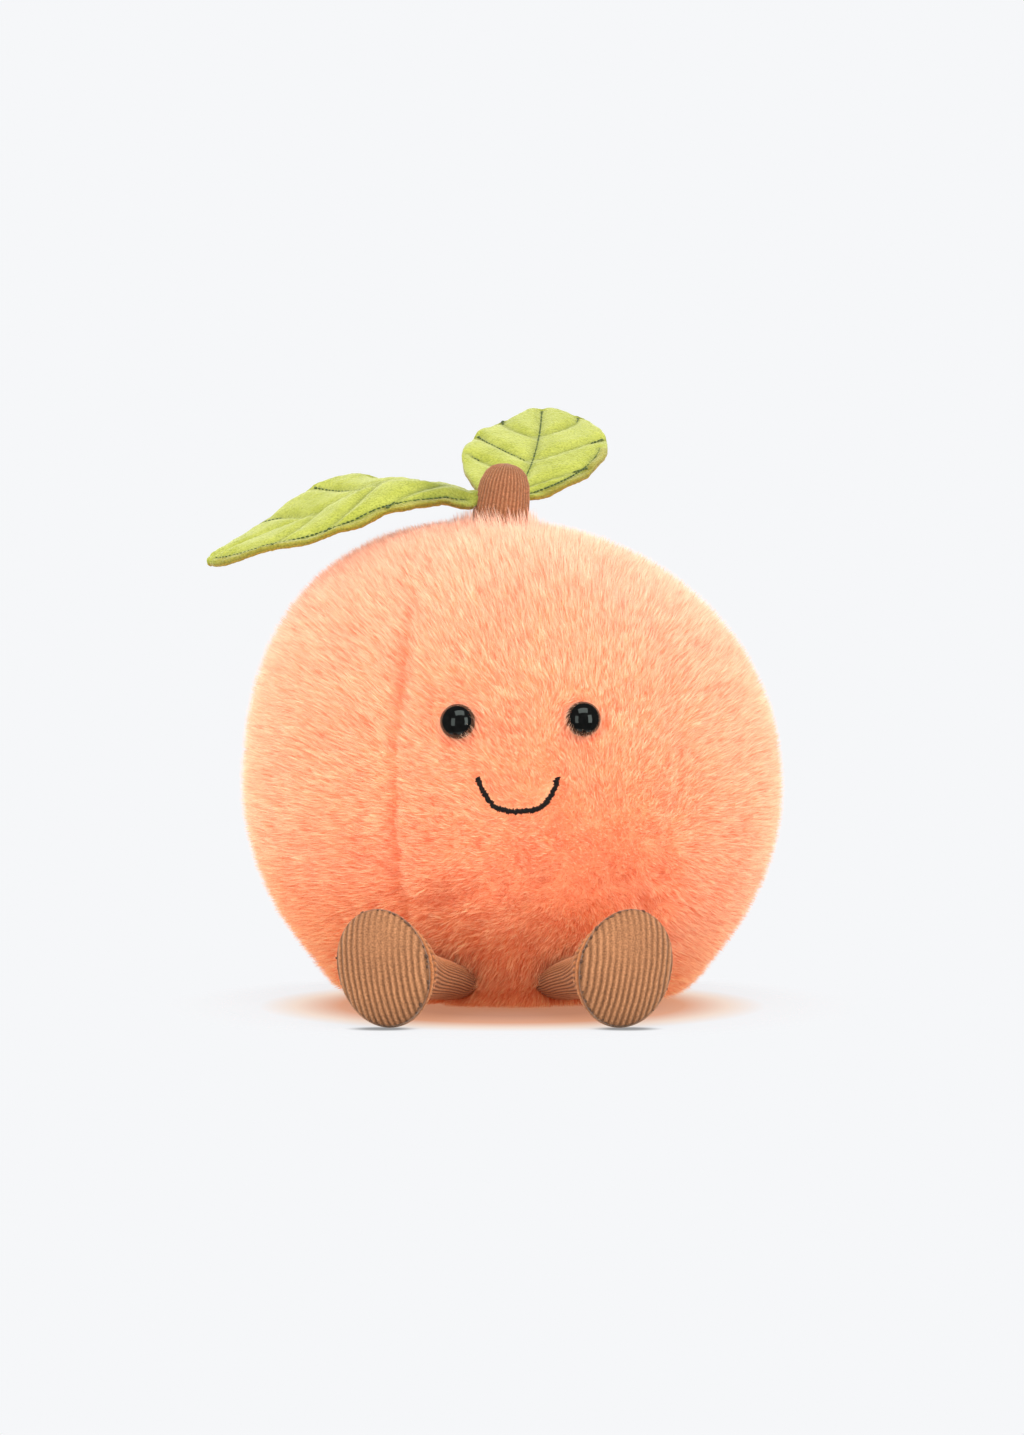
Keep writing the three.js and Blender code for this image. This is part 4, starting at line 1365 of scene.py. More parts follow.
@dataclass
class PileCoat:
    """The fur: long blades in tufts over a fine undercoat, one piece for each panel."""

    COLOUR = "pile_colour"

    form: PeachForm
    cloth: Object
    eyes: tuple[Eye, ...]
    smile: Smile
    legs: tuple[Leg, ...]
    stem: Stem
    long_hairs: int = 190_000
    fine_hairs: int = 370_000
    tufts: int = 60_000
    long_length: float = 6.0 * MM
    fine_length: float = 5.1 * MM
    long_width: float = 0.155 * MM
    fine_width: float = 0.135 * MM
    length_spread: tuple[float, float] = (0.84, 1.04)
    width_spread: tuple[float, float] = (0.75, 1.25)
    arching: float = 0.07
    sagging: float = 0.05
    seed: int = 7

    # How densely it grows: behind, how much more in front and low in front, and the share of it that
    # is left on the base, away from the front.
    density: float = 0.8
    front_density: float = 0.35
    low_density: float = 0.5
    base_density: float = 0.25
    # Where the front, the low part and the base end, and over what distance the first two fade.
    front_ends: tuple[float, float] = (45 * MM, 90 * MM)
    low_ends: tuple[float, float] = (14 * MM, 6 * MM)
    base_ends: float = 3.5 * MM
    # Where it keeps clear: a share of the bead's radius, distances from the middles of the smile and
    # the stem, how far it may grow into a leg, and how far it stays over a bead and the floor.
    under_bead: float = 0.80
    smile_gap: float = 0.7 * MM
    stem_gap: float = 7.5 * MM
    leg_overlap: float = 1.2 * MM
    over_bead: float = 0.42 * MM
    over_floor: float = 0.35 * MM
    # How far in from the tips of the fur a part's surroundings go.
    bead_depth: float = 25 * MM
    smile_depth: float = 20 * MM
    smile_steps: int = 60

    # How it is brushed: leans added to the outward direction, and from where and over how many degrees
    # round from the front the right one takes over.
    nap: tuple[float, float, float] = (-0.34, 0.0, 0.28)
    nap_right: tuple[float, float, float] = (0.08, 0.0, 0.18)
    nap_turns: tuple[float, float] = (37.0, 10.0)
    broad_waves: Wave = Wave(0.22, 16 * MM)
    small_waves: Wave = Wave(0.24, 4.5 * MM)
    straying: float = 0.13
    tuft_pull: float = 0.36
    left_parting: float = 0.24
    right_parting: float = 0.05
    parting_reach: float = 3.0 * MM
    parting_strays: tuple[Wave, Wave] = (Wave(1.5 * MM, 11 * MM), Wave(0.8 * MM, 4.5 * MM))
    bead_lean: float = 0.22
    smile_lean: float = -0.10
    stem_lean: float = 0.30
    stem_edge: float = 8 * MM
    leg_lean: tuple[float, float, float] = (0, -0.1, -0.75)
    floor_lean: float = 0.15
    floor_lean_ends: tuple[float, float] = (12 * MM, 12 * MM)
    hug_reach: float = 3 * MM

    # How much shorter it is at the seams, under the bead's rim, at the smile and on the floor, and how
    # much longer beside the beads and the stem, as shares; then how far each of these reaches.
    left_cut: float = 0.36
    right_cut: float = 0.10
    arch_cut: float = 0.36
    bead_cut: float = 0.5
    bead_fringe: float = 0.14
    smile_cut: float = 0.12
    stem_fringe: float = 0.8
    floor_cut: float = 0.25
    seam_reach: float = 2.2 * MM
    arch_reach: float = 2.4 * MM
    smile_reach: float = 2.2 * MM
    bead_reach: float = 2.0 * MM
    stem_reach: float = 3 * MM
    seam_breaks: Wave = Wave(0.6, 5 * MM)
    # Latitude in degrees where the seams' cut ends, and over how many degrees it fades.
    seam_cut_ends: tuple[float, float] = (48.0, 25.0)
    floor_cut_ends: tuple[float, float] = (3 * MM, 2 * MM)

    # Painted shade: the fur is darker and redder towards the floor.
    dyes: tuple[FurColourAtHeight, ...] = (
        FurColourAtHeight(10, (1.0, 0.665, 0.39), (1.0, 0.56, 0.29)), FurColourAtHeight(23, (1.0, 0.68, 0.41), (1.0, 0.575, 0.305)),
        FurColourAtHeight(40, (1.0, 0.725, 0.505), (1.0, 0.66, 0.42)), FurColourAtHeight(105, (1.0, 0.715, 0.54), (1.0, 0.64, 0.44)),
        FurColourAtHeight(128, (1.0, 0.73, 0.57), (1.0, 0.67, 0.49)),
    )
    # Painted light: the paler colour of the fur round the front of the stem, how far past the stem it
    # reaches, how much of it the roots take, and where the front ends and over what distance it fades.
    pale: Colour = (1.0, 0.78, 0.635)
    pale_reach: float = 5 * MM
    pale_roots: float = 0.8
    pale_ends: tuple[float, float] = (8 * MM, 16 * MM)
    # Height in mm that the colour is lifted by on the right, painted light on that side, from where and over
    # how many degrees round from the front; and a random lift in patches.
    right_painted_light: float = 18.0
    right_turns: tuple[float, float] = (18.0, 22.0)
    patch_lift: Wave = Wave(6.0, 22 * MM)
    # Powers of a hair's tone for its red, green and blue; red is only darkened.
    red_tone: float = 0.34
    green_tone: float = 1.0
    blue_tone: float = 1.15
    tone_spread: tuple[float, float] = (0.94, 1.12)
    # How much of the root's dye is left at a hair's middle.
    root_dye: float = 0.35
    tuft_tone: float = 0.08
    tuft_tone_limits: tuple[float, float] = (0.8, 1.2)
    dark_share: float = 0.20
    dark_tone: float = 0.64
    # Painted shade low down: more dark hairs there, and darker ones, but fewer of these next to the floor;
    # where the low part and the part next to the floor end, and over what height they fade, in mm.
    low_shade_share: float = 0.12
    low_shade_tone: float = 0.16
    floor_relief: float = 0.6
    dark_ends: tuple[float, float] = (90.0, 85.0)
    relief_ends: tuple[float, float] = (16.0, 12.0)
    # Painted shade at the seams: how much darker the hairs get, how far and how broken it reaches, where it
    # fades out above, and its share at the other upright seams and at the arched one.
    seam_painted_shade: float = 0.22
    seam_shade_reach: float = 1.6 * MM
    seam_shade_breaks: Wave = Wave(1.1, 5 * MM)
    seam_shade_ends: tuple[float, float] = (60.0, 25.0)
    other_seams: float = 0.3
    arch_seam: float = 0.75
    rng: np.random.Generator = field(init=False)
    tree: kdtree.KDTree | None = field(init=False, default=None)

    def __post_init__(self) -> None:
        """Starts the seeded draw and reads the cloth."""
        self.rng = np.random.default_rng(self.seed)
        mesh = self.cloth.data
        mesh.calc_loop_triangles()
        self.points = corners(mesh)
        triangles = np.empty(len(mesh.loop_triangles) * 3, np.int32)
        mesh.loop_triangles.foreach_get("vertices", triangles)
        self.triangles = triangles.reshape(-1, 3)
        normals = np.empty(len(mesh.vertices) * 3)
        mesh.vertices.foreach_get("normal", normals)
        self.normals = normals.reshape(-1, 3)

    def scatter(self, count: int) -> tuple[Array, Array]:
        """Roots spread over the cloth, with the cloth's outward directions.

        Args:
            count: How many.

        Returns:
            The roots and the directions.
        """
        a, b, c = (self.points[self.triangles[:, k]] for k in range(3))
        area = np.linalg.norm(np.cross(b - a, c - a), axis=1)
        middle = (a + b + c) / 3
        front = fading(middle[:, 1], *self.front_ends)
        low = fading(middle[:, 2], *self.low_ends)
        on_base = middle[:, 2] < self.base_ends
        weight = area * (self.density + self.front_density * front) * (1 + self.low_density * front * low)
        weight = weight * np.where(on_base, self.base_density + (1 - self.base_density) * front, 1.0)
        pick = self.rng.choice(len(weight), count, p=weight / weight.sum())
        s, t = self.rng.random((2, count, 1))
        s, t = np.where(s + t > 1, 1 - s, s), np.where(s + t > 1, 1 - t, t)
        mixed = [
            values[self.triangles[pick, 0]] * (1 - s - t) + values[self.triangles[pick, 1]] * s
            + values[self.triangles[pick, 2]] * t
            for values in (self.points, self.normals)
        ]
        return mixed[0], unit(mixed[1])

    def clear_of_parts(self, roots: Array) -> Array:
        """Which roots aren't under an eye, the smile, the stem or a leg."""
        keep = np.ones(len(roots), bool)
        for eye in self.eyes:
            keep &= self.from_eye(eye, roots)[0] > eye.radius * self.under_bead
        keep &= self.from_smile(roots)[0] > self.smile_gap
        keep &= self.stem.around(roots)[0] > self.stem_gap
        for leg in self.legs:
            keep &= ~leg.inside(roots, -self.leg_overlap)
        return keep

    def from_eye(self, eye: Eye, points: Array) -> tuple[Array, Array]:
        """Distance and direction of points from an eye's axis; far off on the body's other side."""
        origin, axis = eye.seat_on(self.form)
        offset = points - origin
        depth = offset @ axis
        flat = offset - np.outer(depth, axis)
        away = np.linalg.norm(flat, axis=1)
        return np.where(np.abs(depth) < self.bead_depth, away, 1.0), unit(flat)

    def from_smile(self, points: Array) -> tuple[Array, Array]:
        """Distance and direction of points from the smile, measured over the surface."""
        line, normal = self.smile.line(self.form, self.smile_steps)
        nearest = np.full(len(points), 1.0)
        outward = np.zeros_like(points)
        for middle, up in zip(line, normal, strict=True):
            offset = points - middle
            depth = offset @ up
            flat = offset - np.outer(depth, up)
            away = np.where(np.abs(depth) < self.smile_depth, np.linalg.norm(flat, axis=1), 1.0)
            closer = away < nearest
            nearest = np.where(closer, away, nearest)
            outward[closer] = flat[closer]
        return nearest, unit(outward)

    def comb(self, roots: Array, normals: Array) -> Array:
        """Which way the hairs lie: outwards, brushed up and to one side, parted at the seams."""
        azimuth, offset, _ = self.from_seam(roots)
        side = np.stack([np.cos(azimuth), np.sin(azimuth), np.zeros_like(azimuth)], axis=1)
        parting = np.where(azimuth < 0, self.left_parting, self.right_parting)
        part = np.sign(offset) * bump(offset, self.parting_reach) * parting
        rightwards = rising(np.degrees(azimuth), *self.nap_turns)[:, None]
        nap = np.array(self.nap) * (1 - rightwards) + np.array(self.nap_right) * rightwards
        lie = normals + nap + side * part[:, None]
        lie += self.broad_waves.at(roots) + self.small_waves.at(roots + 0.5)
        for eye in self.eyes:
            lie = self.hug(lie, *self.from_eye(eye, roots), eye.radius, self.bead_lean)
        lie = self.hug(lie, *self.from_smile(roots), self.smile.half_width, self.smile_lean)
        lie = self.hug(lie, *self.stem.around(roots), self.stem_edge, self.stem_lean)
        for leg in self.legs:
            lie += leg.over(roots)[:, None] * np.array(self.leg_lean)
        low = fading(roots[:, 2], *self.floor_lean_ends)[:, None]
        outward = unit(roots * np.array([1, 1, 0]))
        lie += low * (outward - np.array([0, 0, self.floor_lean]))
        return unit(lie)

    def hug(self, lie: Array, away: Array, outward: Array, edge: float, lean: float) -> Array:
        """Stands the hairs beside a part up, against it or clear of it.

        Args:
            lie: Directions of the hairs.
            away: Their distance from the part's middle.
            outward: Directions away from it.
            edge: How far the part itself reaches.
            lean: How far they end up leaning over it, or below 0 away from it.

        Returns:
            The new directions.
        """
        near = bump(np.maximum(away - edge, 0), self.hug_reach)
        leaning = dot(lie, outward) + lean
        if lean > 0:
            leaning = np.maximum(leaning, 0)
        return lie - outward * (near * leaning)[:, None]

    def from_seam(self, roots: Array) -> tuple[Array, Array, Array]:
        """Where roots lie against the fur's partings, which stray sideways from the seams under them.

        Args:
            roots: Where the hairs grow.

        Returns:
            Their azimuth, their signed distance from the nearest parting, and the number of its seam.
        """
        azimuth, latitude = self.form.locate(roots)
        offset, number = self.form.seam_offset(azimuth, latitude)
        broad, small = self.parting_strays
        return azimuth, offset + (broad.at(roots)[:, 2] + small.at(roots)[:, 1]), number

    def arch_near(self, azimuth: Array, latitude: Array) -> Array:
        """How close places are to the arched seam, 0 to 1."""
        between = smooth(self.form.past_arch(azimuth) / 6)
        return bump(self.form.arch_offset(azimuth, latitude), self.arch_reach) * between

    def seam_shade_mask(self, roots: Array) -> Array:
        """How close roots are to a seam, 0 to 1, which sets the painted shade there: sharpest at the left one
        of the face.
        """
        azimuth, offset, number = self.from_seam(roots)
        _, latitude = self.form.locate(roots)
        broken = np.clip(0.65 + self.seam_shade_breaks.at(roots)[:, 0], 0.05, 1)
        sharp = np.where((number == 0) & (azimuth < 0), 1.0, self.other_seams)
        upright = bump(offset, self.seam_shade_reach) * sharp * broken
        arched = self.arch_seam * broken * self.arch_near(azimuth, latitude)
        return np.maximum(upright * fading(latitude, *self.seam_shade_ends), arched)

    def lengths(self, roots: Array, full: float) -> Array:
        """Length of each hair: cut short near the eyes, the smile and the seams."""
        azimuth, offset, _ = self.from_seam(roots)
        _, latitude = self.form.locate(roots)
        fades = fading(latitude, *self.seam_cut_ends)
        broken = np.clip(0.75 + self.seam_breaks.at(roots)[:, 1], 0.2, 1)
        cut = np.where(azimuth < 0, self.left_cut, self.right_cut) * fades * broken
        length = full * (1 - cut * bump(offset, self.seam_reach))
        length = length * (1 - self.arch_cut * self.arch_near(azimuth, latitude))
        for eye in self.eyes:
            away = self.from_eye(eye, roots)[0] - eye.radius
            fringe = 1 + self.bead_fringe * bump(np.maximum(away, 0), self.bead_reach)
            length *= np.where(away < 0, self.bead_cut, fringe)
        length *= 1 - self.smile_cut * bump(self.from_smile(roots)[0], self.smile_reach)
        past_stem = np.maximum(self.stem.around(roots)[0] - self.stem_edge, 0)
        length *= 1 + self.stem_fringe * bump(past_stem, self.stem_reach)
        length *= 1 - self.floor_cut * fading(roots[:, 2], *self.floor_cut_ends)
        return length

    def shades(self, roots: Array, tone: Array) -> Array:
        """Lightness of each hair against its neighbours, about 1: its tuft's, with some dark hairs, and with
        painted shade low down and at the seams.
        """
        tone = tone * self.rng.uniform(*self.tone_spread, len(roots))
        height = roots[:, 2] / MM
        low = fading(height, *self.dark_ends) * (1 - self.floor_relief * fading(height, *self.relief_ends))
        # Painted shade low down: more dark hairs there, and darker ones.
        dark = self.rng.random(len(roots)) < self.dark_share + self.low_shade_share * low
        tone = np.where(dark, tone * (self.dark_tone - self.low_shade_tone * low), tone)
        # Painted shade at the seams.
        return tone * (1 - self.seam_painted_shade * self.seam_shade_mask(roots))

    def colours(self, roots: Array, tone: Array) -> tuple[Array, Array]:
        """Root and tip colour of each hair, with painted light on the right side and round the front of the
        stem.

        Args:
            roots: Where the hairs grow.
            tone: Lightness of each hair against its neighbours, about 1.

        Returns:
            The colours at the root and at the tip.
        """
        azimuth, _ = self.form.locate(roots)
        # Painted light: the fur's colour is lifted on the right side.
        brushed = rising(np.degrees(azimuth), *self.right_turns)
        height = roots[:, 2] / MM + self.patch_lift.at(roots)[:, 0] + self.right_painted_light * brushed
        marks = [dye.height for dye in self.dyes]
        tip, root = (
            np.stack([np.interp(height, marks, [shade[k] for shade in shades]) for k in range(3)], axis=1)
            for shades in ([dye.tip for dye in self.dyes], [dye.root for dye in self.dyes])
        )
        # Painted light: paler fur round the front of the stem.
        front = fading(roots[:, 1], *self.pale_ends)
        past_stem = np.maximum(self.stem.around(roots)[0] - self.stem_edge, 0)
        pale = (bump(past_stem, self.pale_reach) * front)[:, None]
        tip = tip + (np.array(self.pale) - tip) * pale
        root = root + (np.array(self.pale) - root) * pale * self.pale_roots
        tone = tone[:, None]
        dye = tone ** np.array([0.0, self.green_tone, self.blue_tone])
        dye = dye * np.minimum(tone, 1) ** np.array([self.red_tone, 0, 0])
        return np.clip(root * dye, 0, 1), np.clip(tip * dye, 0, 1)

    def grow(self, blade: HairBlade, count: int, length: float, width: float) -> Hairs:
        """Makes one kind of hair all over the body.

        Args:
            blade: How it is jointed.
            count: How many are drawn, before those under the parts are dropped.
            length: Full length.
            width: Width at its widest.

        Returns:
            The hairs.
        """
        roots, normals = self.scatter(count)
        keep = self.clear_of_parts(roots)
        roots, normals = roots[keep], normals[keep]
        lie = self.comb(roots, normals)
        lie = unit(lie + self.rng.normal(0, self.straying, lie.shape))
        size = self.lengths(roots, length) * self.rng.uniform(*self.length_spread, len(roots))
        tips, tone = self.gather(roots, roots + lie * size[:, None])
        tone = self.shades(roots, tone)
        tips[:, 2] = np.maximum(tips[:, 2], self.over_floor)
        rise = normals * (self.arching * size)[:, None]
        middle = roots * 0.5 + tips * 0.5 + rise - unit(np.array(self.nap)) * (self.sagging * size)[:, None]
        tips, middle = self.over_beads(tips), self.over_beads(middle)
        roll = unit(np.cross(tips - roots, self.rng.normal(0, 1, roots.shape)))
        thick = width * self.rng.uniform(*self.width_spread, (len(roots), 1))
        root_colour, tip_colour = self.colours(roots, tone)
        middle_colour = root_colour * self.root_dye + tip_colour * (1 - self.root_dye)
        if blade is HairBlade.BENT:
            parts = [roots, middle - roll * thick / 2, middle + roll * thick / 2, tips]
            dyes = [root_colour, middle_colour, middle_colour, tip_colour]
        else:
            parts = [roots - roll * thick / 2, roots + roll * thick / 2, tips]
            dyes = [root_colour, root_colour, tip_colour]
        return Hairs(blade, np.stack(parts, axis=1), np.stack(dyes, axis=1), self.form.panel_of(roots))

    def over_beads(self, points: Array) -> Array:
        """Moves points that fall inside an eye out to just over its surface."""
        for eye in self.eyes:
            origin, axis = eye.seat_on(self.form)
            middle = origin + axis * (eye.proud - eye.radius)
            offset = points - middle
            away = np.linalg.norm(offset, axis=1, keepdims=True)
            outside = middle + offset / np.maximum(away, 1e-9) * (eye.radius + self.over_bead)
            points = np.where(away < eye.radius + self.over_bead, outside, points)
        return points

    def start_tufts(self) -> None:
        """Draws the tufts: their middles, where they point and their tones."""
        centres, normals = self.scatter(self.tufts)
        self.tuft_tips = centres + self.comb(centres, normals) * self.long_length
        self.tuft_shades = self.rng.normal(1.0, self.tuft_tone, self.tufts)
        self.tree = kdtree.KDTree(self.tufts)
        for number, centre in enumerate(centres):
            self.tree.insert(centre, number)
        self.tree.balance()

    def gather(self, roots: Array, tips: Array) -> tuple[Array, Array]:
        """Draws the tips of each tuft together and gives each tuft its tone."""
        if self.tree is None:
            self.start_tufts()
        nearest = np.array([self.tree.find(root)[1] for root in roots])
        reach = np.linalg.norm(tips - roots, axis=1, keepdims=True) / self.long_length
        goal = roots + (self.tuft_tips[nearest] - roots) * reach
        tone = np.clip(self.tuft_shades[nearest], *self.tuft_tone_limits)
        return tips + (goal - tips) * self.tuft_pull, tone

    def build(self, material: Material) -> list[Object]:
        """Grows both kinds of hair and sews them into one piece for each panel."""
        coats = (
            self.grow(HairBlade.BENT, self.long_hairs, self.long_length, self.long_width),
            self.grow(HairBlade.STRAIGHT, self.fine_hairs, self.fine_length, self.fine_width),
        )
        pieces = []
        for number, panel in enumerate(Panel):
            name = panel.value.replace("panel", "pile")
            fur = piece_of(fur_mesh(name, [hairs.on(number) for hairs in coats]), name)
            pieces.append(dress(fur, material))
        return pieces


# ---------------------------------------------------------------- studio
@dataclass(frozen=True)
class Softbox:
    """Soft studio light, by the direction it comes from."""

    name: str
    direction: tuple[float, float, float]
    width: float
    height: float
    radiance: float
    distance: float = 1.0


@dataclass
class Studio:
    """Plain pale floor and background, the softboxes and the camera."""

    aim: tuple[float, float, float] = (0, 0, 0.0759)
    elevation: float = 2.7
    distance: float = 1.5
    lens: float = 137.5
    backdrop: Colour = srgb(246, 247, 249)
    fill: float = 1.92
    # Shares of the fill: from behind the toy, and in mirrored views.
    fill_behind: float = 0.55
    fill_mirrored: float = 0.03
    fill_colour: Colour = (1.0, 0.99, 0.985)
    floor_middle: tuple[float, float, float] = (0, -0.030, 0)
    floor_reach: float = 0.072
    floor_end: float = 0.096
    # Where the painted shadow round the toy starts and ends.
    painted_shadow_from: float = 0.028
    painted_shadow_to: float = 0.068
    floor_glow: float = 0.81
    floor_paper: Colour = (0.06, 0.0603, 0.061)
    # Painted shadow with painted orange bounce light round the toy, dark orange near it and white further
    # out: share of the way from where it starts to where it ends, and its colour there.
    painted_shadow_stops: tuple[tuple[float, Colour], ...] = (
        (0.0, (0.60, 0.26, 0.15)), (0.45, (0.82, 0.38, 0.22)),
        (0.75, (1.0, 0.80, 0.67)), (1.0, (0.99, 1.0, 1.02)),
    )
    # Painted contact shadows under the feet: where each oval lies, its half width and depth, how much glow is
    # kept at its middle, and from what share of its size the glow rises again.
    feet: tuple[tuple[float, float], ...] = ((-0.0335, -0.0915), (0.0295, -0.0915))
    foot_shade: tuple[float, float] = (0.0105, 0.0062)
    shade_strength: float = 0.35
    shade_middle: float = 0.35
    bounces: int = 12
    lights: tuple[Softbox, ...] = (
        Softbox("softbox_top", (0.10, -0.52, 0.85), 0.85, 0.55, 2.8),
        Softbox("softbox_left", (-0.50, -0.86, 0.08), 0.36, 0.7, 2.2),
        Softbox("softbox_right", (0.72, -0.69, 0.14), 0.38, 0.7, 3.3),
        Softbox("softbox_behind", (-0.28, 0.86, 0.42), 0.6, 0.5, 3.0),
    )

    def build_camera(self) -> None:
        """The camera, level with the toy and a little above it."""
        rise = math.radians(self.elevation)
        back = Vector((0, -math.cos(rise), math.sin(rise)))
        data = bpy.data.cameras.new("camera")
        data.lens = self.lens
        data.sensor_width = 36
        data.clip_start, data.clip_end = 0.05, 20
        camera = bpy.data.objects.new("camera", data)
        bpy.context.scene.collection.objects.link(camera)
        camera.location = Vector(self.aim) + back * self.distance
        camera.rotation_euler = (-back).to_track_quat("-Z", "Y").to_euler()
        bpy.context.scene.camera = camera

    def build_lights(self) -> None:
        """The softboxes, which the camera doesn't see."""
        for box in self.lights:
            data = bpy.data.lights.new(box.name, "AREA")
            data.shape = "RECTANGLE"
            data.size, data.size_y = box.width, box.height
            data.energy = box.radiance * math.pi * box.width * box.height
            light = bpy.data.objects.new(box.name, data)
            bpy.context.scene.collection.objects.link(light)
            towards = Vector(box.direction).normalized()
            light.location = Vector(self.aim) + towards * box.distance
            light.rotation_euler = towards.to_track_quat("Z", "Y").to_euler()
            light.visible_camera = False

    def build_world(self) -> None:
        """Even white surroundings that light everything and barely show in the beads."""
        world = bpy.data.worlds.new("studio")
        bpy.context.scene.world = world
        world.use_nodes = True
        tree = world.node_tree
        tree.nodes.clear()
        output = tree.nodes.new("ShaderNodeOutputWorld")
        ray = tree.nodes.new("ShaderNodeLightPath")
        shown, lit, dim = (tree.nodes.new("ShaderNodeBackground") for _ in range(3))
        shown.inputs["Color"].default_value = (*self.backdrop, 1)
        lit.inputs["Color"].default_value = (*self.fill_colour, 1)
        way = tree.nodes.new("ShaderNodeSeparateXYZ")
        strength = tree.nodes.new("ShaderNodeMapRange")
        strength.interpolation_type = "SMOOTHSTEP"
        behind = self.fill * self.fill_behind
        for key, value in (("From Min", -0.2), ("From Max", 0.8), ("To Min", self.fill), ("To Max", behind)):
            strength.inputs[key].default_value = value
        dim.inputs["Color"].default_value = (1, 1, 1, 1)
        dim.inputs["Strength"].default_value = self.fill * self.fill_mirrored
        glossy, seen = (tree.nodes.new("ShaderNodeMixShader") for _ in range(2))
        for a, b in (
            (tree.nodes.new("ShaderNodeTexCoord").outputs["Generated"], way.inputs[0]),
            (way.outputs["Y"], strength.inputs["Value"]),
            (strength.outputs["Result"], lit.inputs["Strength"]),
            (ray.outputs["Is Glossy Ray"], glossy.inputs[0]), (lit.outputs[0], glossy.inputs[1]),
            (dim.outputs[0], glossy.inputs[2]), (ray.outputs["Is Camera Ray"], seen.inputs[0]),
            (glossy.outputs[0], seen.inputs[1]), (shown.outputs[0], seen.inputs[2]),
            (seen.outputs[0], output.inputs["Surface"]),
        ):
            tree.links.new(a, b)

    def glow_strength(self, pen: NodePen, place: NodeSocket) -> NodeSocket:
        """How strongly the floor glows: evenly, and less in a small oval under each foot, a painted contact
        shadow.

        Args:
            pen: The floor's material.
            place: Coordinates on the floor.

        Returns:
            The strength.
        """
        strength = self.floor_glow
        wide, deep = self.foot_shade
        for x, y in self.feet:
            near = pen.add(
                "ShaderNodeMapping", Vector=place, Scale=(1 / wide, 1 / deep, 1),
                Location=(-x / wide, -y / deep, 0),
            )
            away = pen.length(near.outputs["Vector"])
            shade = pen.mapped(away, self.shade_middle, 1.0, low=self.shade_strength)
            # Painted contact shadow under this foot.
            strength = pen.reckon("MULTIPLY", shade, strength)
        return strength

    def paper(self) -> Material:
        """The floor's paper, lit through from below, with a painted shadow and painted orange bounce light
        round the toy and painted contact shadows under the feet; it fades out and is clear from beneath.
        """
        pen = NodePen("floor_paper")
        place = pen.add("ShaderNodeTexCoord").outputs["Object"]
        shift = pen.add("ShaderNodeVectorMath", {"operation": "SUBTRACT"})
        pen.tree.links.new(place, shift.inputs[0])
        shift.inputs[1].default_value = self.floor_middle
        away = pen.length(shift.outputs["Vector"])
        fade = pen.mapped(away, self.floor_reach, self.floor_end)
        clear = pen.reckon("MAXIMUM", fade, pen.add("ShaderNodeNewGeometry").outputs["Backfacing"])
        # Painted shadow with painted orange bounce light round the toy.
        tint = pen.ramp(pen.mapped(away, self.painted_shadow_from, self.painted_shadow_to, eased=False), self.painted_shadow_stops)
        matt = pen.add("ShaderNodeBsdfDiffuse", Color=self.floor_paper)
        lit = pen.add("ShaderNodeEmission", Color=tint, Strength=self.glow_strength(pen, place))
        paper = pen.add("ShaderNodeAddShader")
        pen.tree.links.new(matt.outputs[0], paper.inputs[0])
        pen.tree.links.new(lit.outputs[0], paper.inputs[1])
        return pen.finish(pen.mix(clear, paper, pen.add("ShaderNodeBsdfTransparent")))

    def build_floor(self) -> None:
        """The pale floor, which melts into the background."""
        bm = bmesh.new()
        bmesh.ops.create_circle(bm, cap_ends=True, segments=96, radius=self.floor_end)
        bmesh.ops.translate(bm, verts=bm.verts, vec=(*self.floor_middle[:2], -0.1 * MM))
        floor = piece_from(bm, "floor")
        floor.data.materials.append(self.paper())

    def build(self) -> None:
        """Everything round the toy."""
        scene = bpy.context.scene
        scene.view_settings.view_transform = "Standard"
        scene.cycles.max_bounces = scene.cycles.diffuse_bounces = self.bounces
        self.build_camera()
        self.build_lights()
        self.build_world()
        self.build_floor()


# ---------------------------------------------------------------- the toy
def dress_hidden_parts() -> None:
    """Gives the CAD nodes that stay inside their own finishes."""
    wadding = FibreFinish("wadding", (0.78, 0.76, 0.72), (0.90, 0.89, 0.86), 260.0, 0.95).material()
    pellets = FibreFinish("pellet_cloth", (0.55, 0.52, 0.45), (0.70, 0.67, 0.60), 420.0, 0.85).material()
    plastic = FibreFinish("washer_plastic", (0.74, 0.74, 0.72), (0.84, 0.84, 0.82), 300.0, 0.45).material()
    chosen = {
        "stuffing_body": wadding, "stem_filling": wadding,
        "leg_left_filling": wadding, "leg_right_filling": wadding,
        "pellet_pouch": pellets, "washer_left": plastic, "washer_right": plastic,
    }
    for name, material in chosen.items():
        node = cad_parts[name]
        node.data.materials.clear()
        node.data.materials.append(material)
        LOG.info("%s: dressed", name)


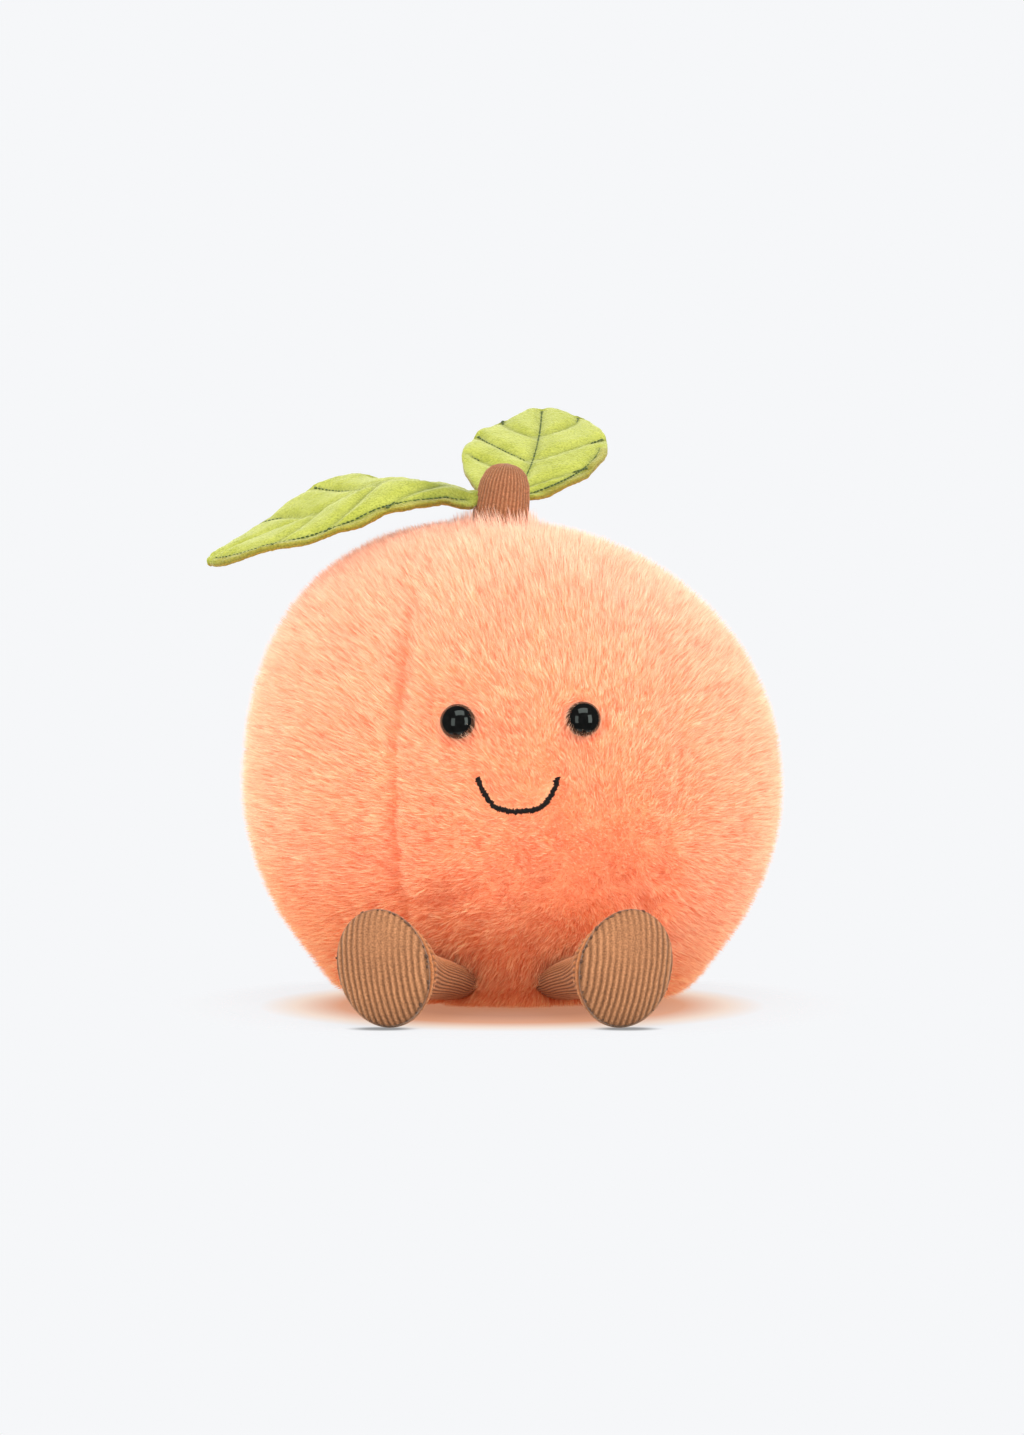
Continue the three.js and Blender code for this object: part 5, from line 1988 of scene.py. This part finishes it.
def main() -> None:
    """Builds the studio and the toy, piece by piece."""
    logging.basicConfig(level=logging.INFO, format="%(name)s %(message)s")
    noise.seed_set(NOISE_SEED)
    Studio().build()

    form = PeachForm()
    # Each cord's colours: in the valleys, painted shade in the recesses; on the ridges; and worn.
    foot_cord, leg_cord, stem_cord = (
        CordFinish(f"{part}_needlecord", *(srgb(*dye) for dye in dyes)).material() for part, dyes in (
            ("foot", ((106, 69, 42), (142, 96, 63), (160, 112, 76))),
            ("leg", ((118, 68, 35), (168, 103, 58), (186, 121, 75))),
            ("stem", ((118, 73, 46), (138, 90, 60), (150, 103, 72))),
        )
    )
    # Its third colour is the painted shade of the creases; its fourth, the back layer's, is painted shade
    # with painted orange bounce light.
    velour = VelourFinish(
        "leaf_velour", srgb(145, 150, 55), srgb(158, 162, 72), srgb(70, 80, 18), srgb(140, 112, 34),
    ).material()
    vein_thread = ThreadFinish("vein_thread", srgb(50, 68, 18), srgb(82, 100, 34)).material()
    seam_thread = ThreadFinish("seam_thread", srgb(62, 38, 20), srgb(98, 64, 38)).material()
    mouth_thread = ThreadFinish("mouth_thread", (0.002, 0.002, 0.002), (0.014, 0.011, 0.010), 0.0).material()
    backing = KnitFinish("pile_backing", (1.0, 0.54, 0.29), (1.0, 0.60, 0.34)).material()
    pile = PileFinish().material()
    bead = BeadFinish().material()

    cloth = BodyCloth(form).build(backing)
    eyes = (Eye("left", -11.1, 15.7), Eye("right", 16.0, 16.2))
    for eye in eyes:
        eye.build(form, bead)
    smile = Smile()
    smile.build(form, mouth_thread)
    legs = (
        Leg("left", (-21, -50, 8.8), (-33, -90, 15.5), -22, -0.16),
        Leg("right", (18, -50, 8.8), (29.2, -90, 15.5), 22, 0.16),
    )
    for leg in legs:
        leg.build_sleeve(leg_cord)
        leg.build_sole(foot_cord)
        leg.build_stitches(seam_thread)
    stem = Stem()
    stem.build(stem_cord)
    leaves = (
        Leaf("left", (0, 1, 0), (
            Station(0, (-8, 0, 135.8), -1.1, -0.5), Station(0.12, (-18, 0, 138.9), -0.45, -0.35),
            Station(0.32, (-34, 0, 139.7), -0.46, -0.05), Station(0.45, (-43, 0, 136.2), -0.43, 0.29),
            Station(0.6, (-54, 0, 130.4), -0.31, 0.51), Station(0.78, (-67, 0, 124.9), -0.2, 0.36),
            Station(1, (-83, 0, 118.6), -0.3, 0.1),
        ), (
            Vein(0.1, 0.32, -1, 0.88), Vein(0.33, 0.56, -1, 0.88), Vein(0.56, 0.76, -1, 0.88),
            Vein(0.16, 0.4, 1), Vein(0.4, 0.61, 1, 0.1), Vein(0.62, 0.8, 1, 0.6),
        ), Hem(-1, 0.06, 0.97), 0),
        Leaf("right", (1, 0, 0.05), (
            Station(0, (-1, 6, 134.5), 0.02, 0), Station(0.25, (4, 22, 141.3), 0.04, 0),
            Station(0.5, (6.7, 38, 148.4), 0.06, -0.02), Station(0.75, (8, 55, 154.6), 0.04, -0.05),
            Station(1, (8.6, 71, 160), 0, 0),
        ), (
            Vein(0.2, 0.45, -1), Vein(0.37, 0.66, -1, 0.1), Vein(0.62, 0.86, -1),
            Vein(0.08, 0.31, 1), Vein(0.38, 0.61, 1), Vein(0.64, 0.87, 1),
        ), Hem(1, 0.05, 0.5), 0.4 * MM),
    )
    for leaf in leaves:
        leaf.build(velour)
        leaf.build_stitching(vein_thread)
    PileCoat(form, cloth, eyes, smile, legs, stem).build(pile)
    dress_hidden_parts()


if __name__ == "__main__":
    main()
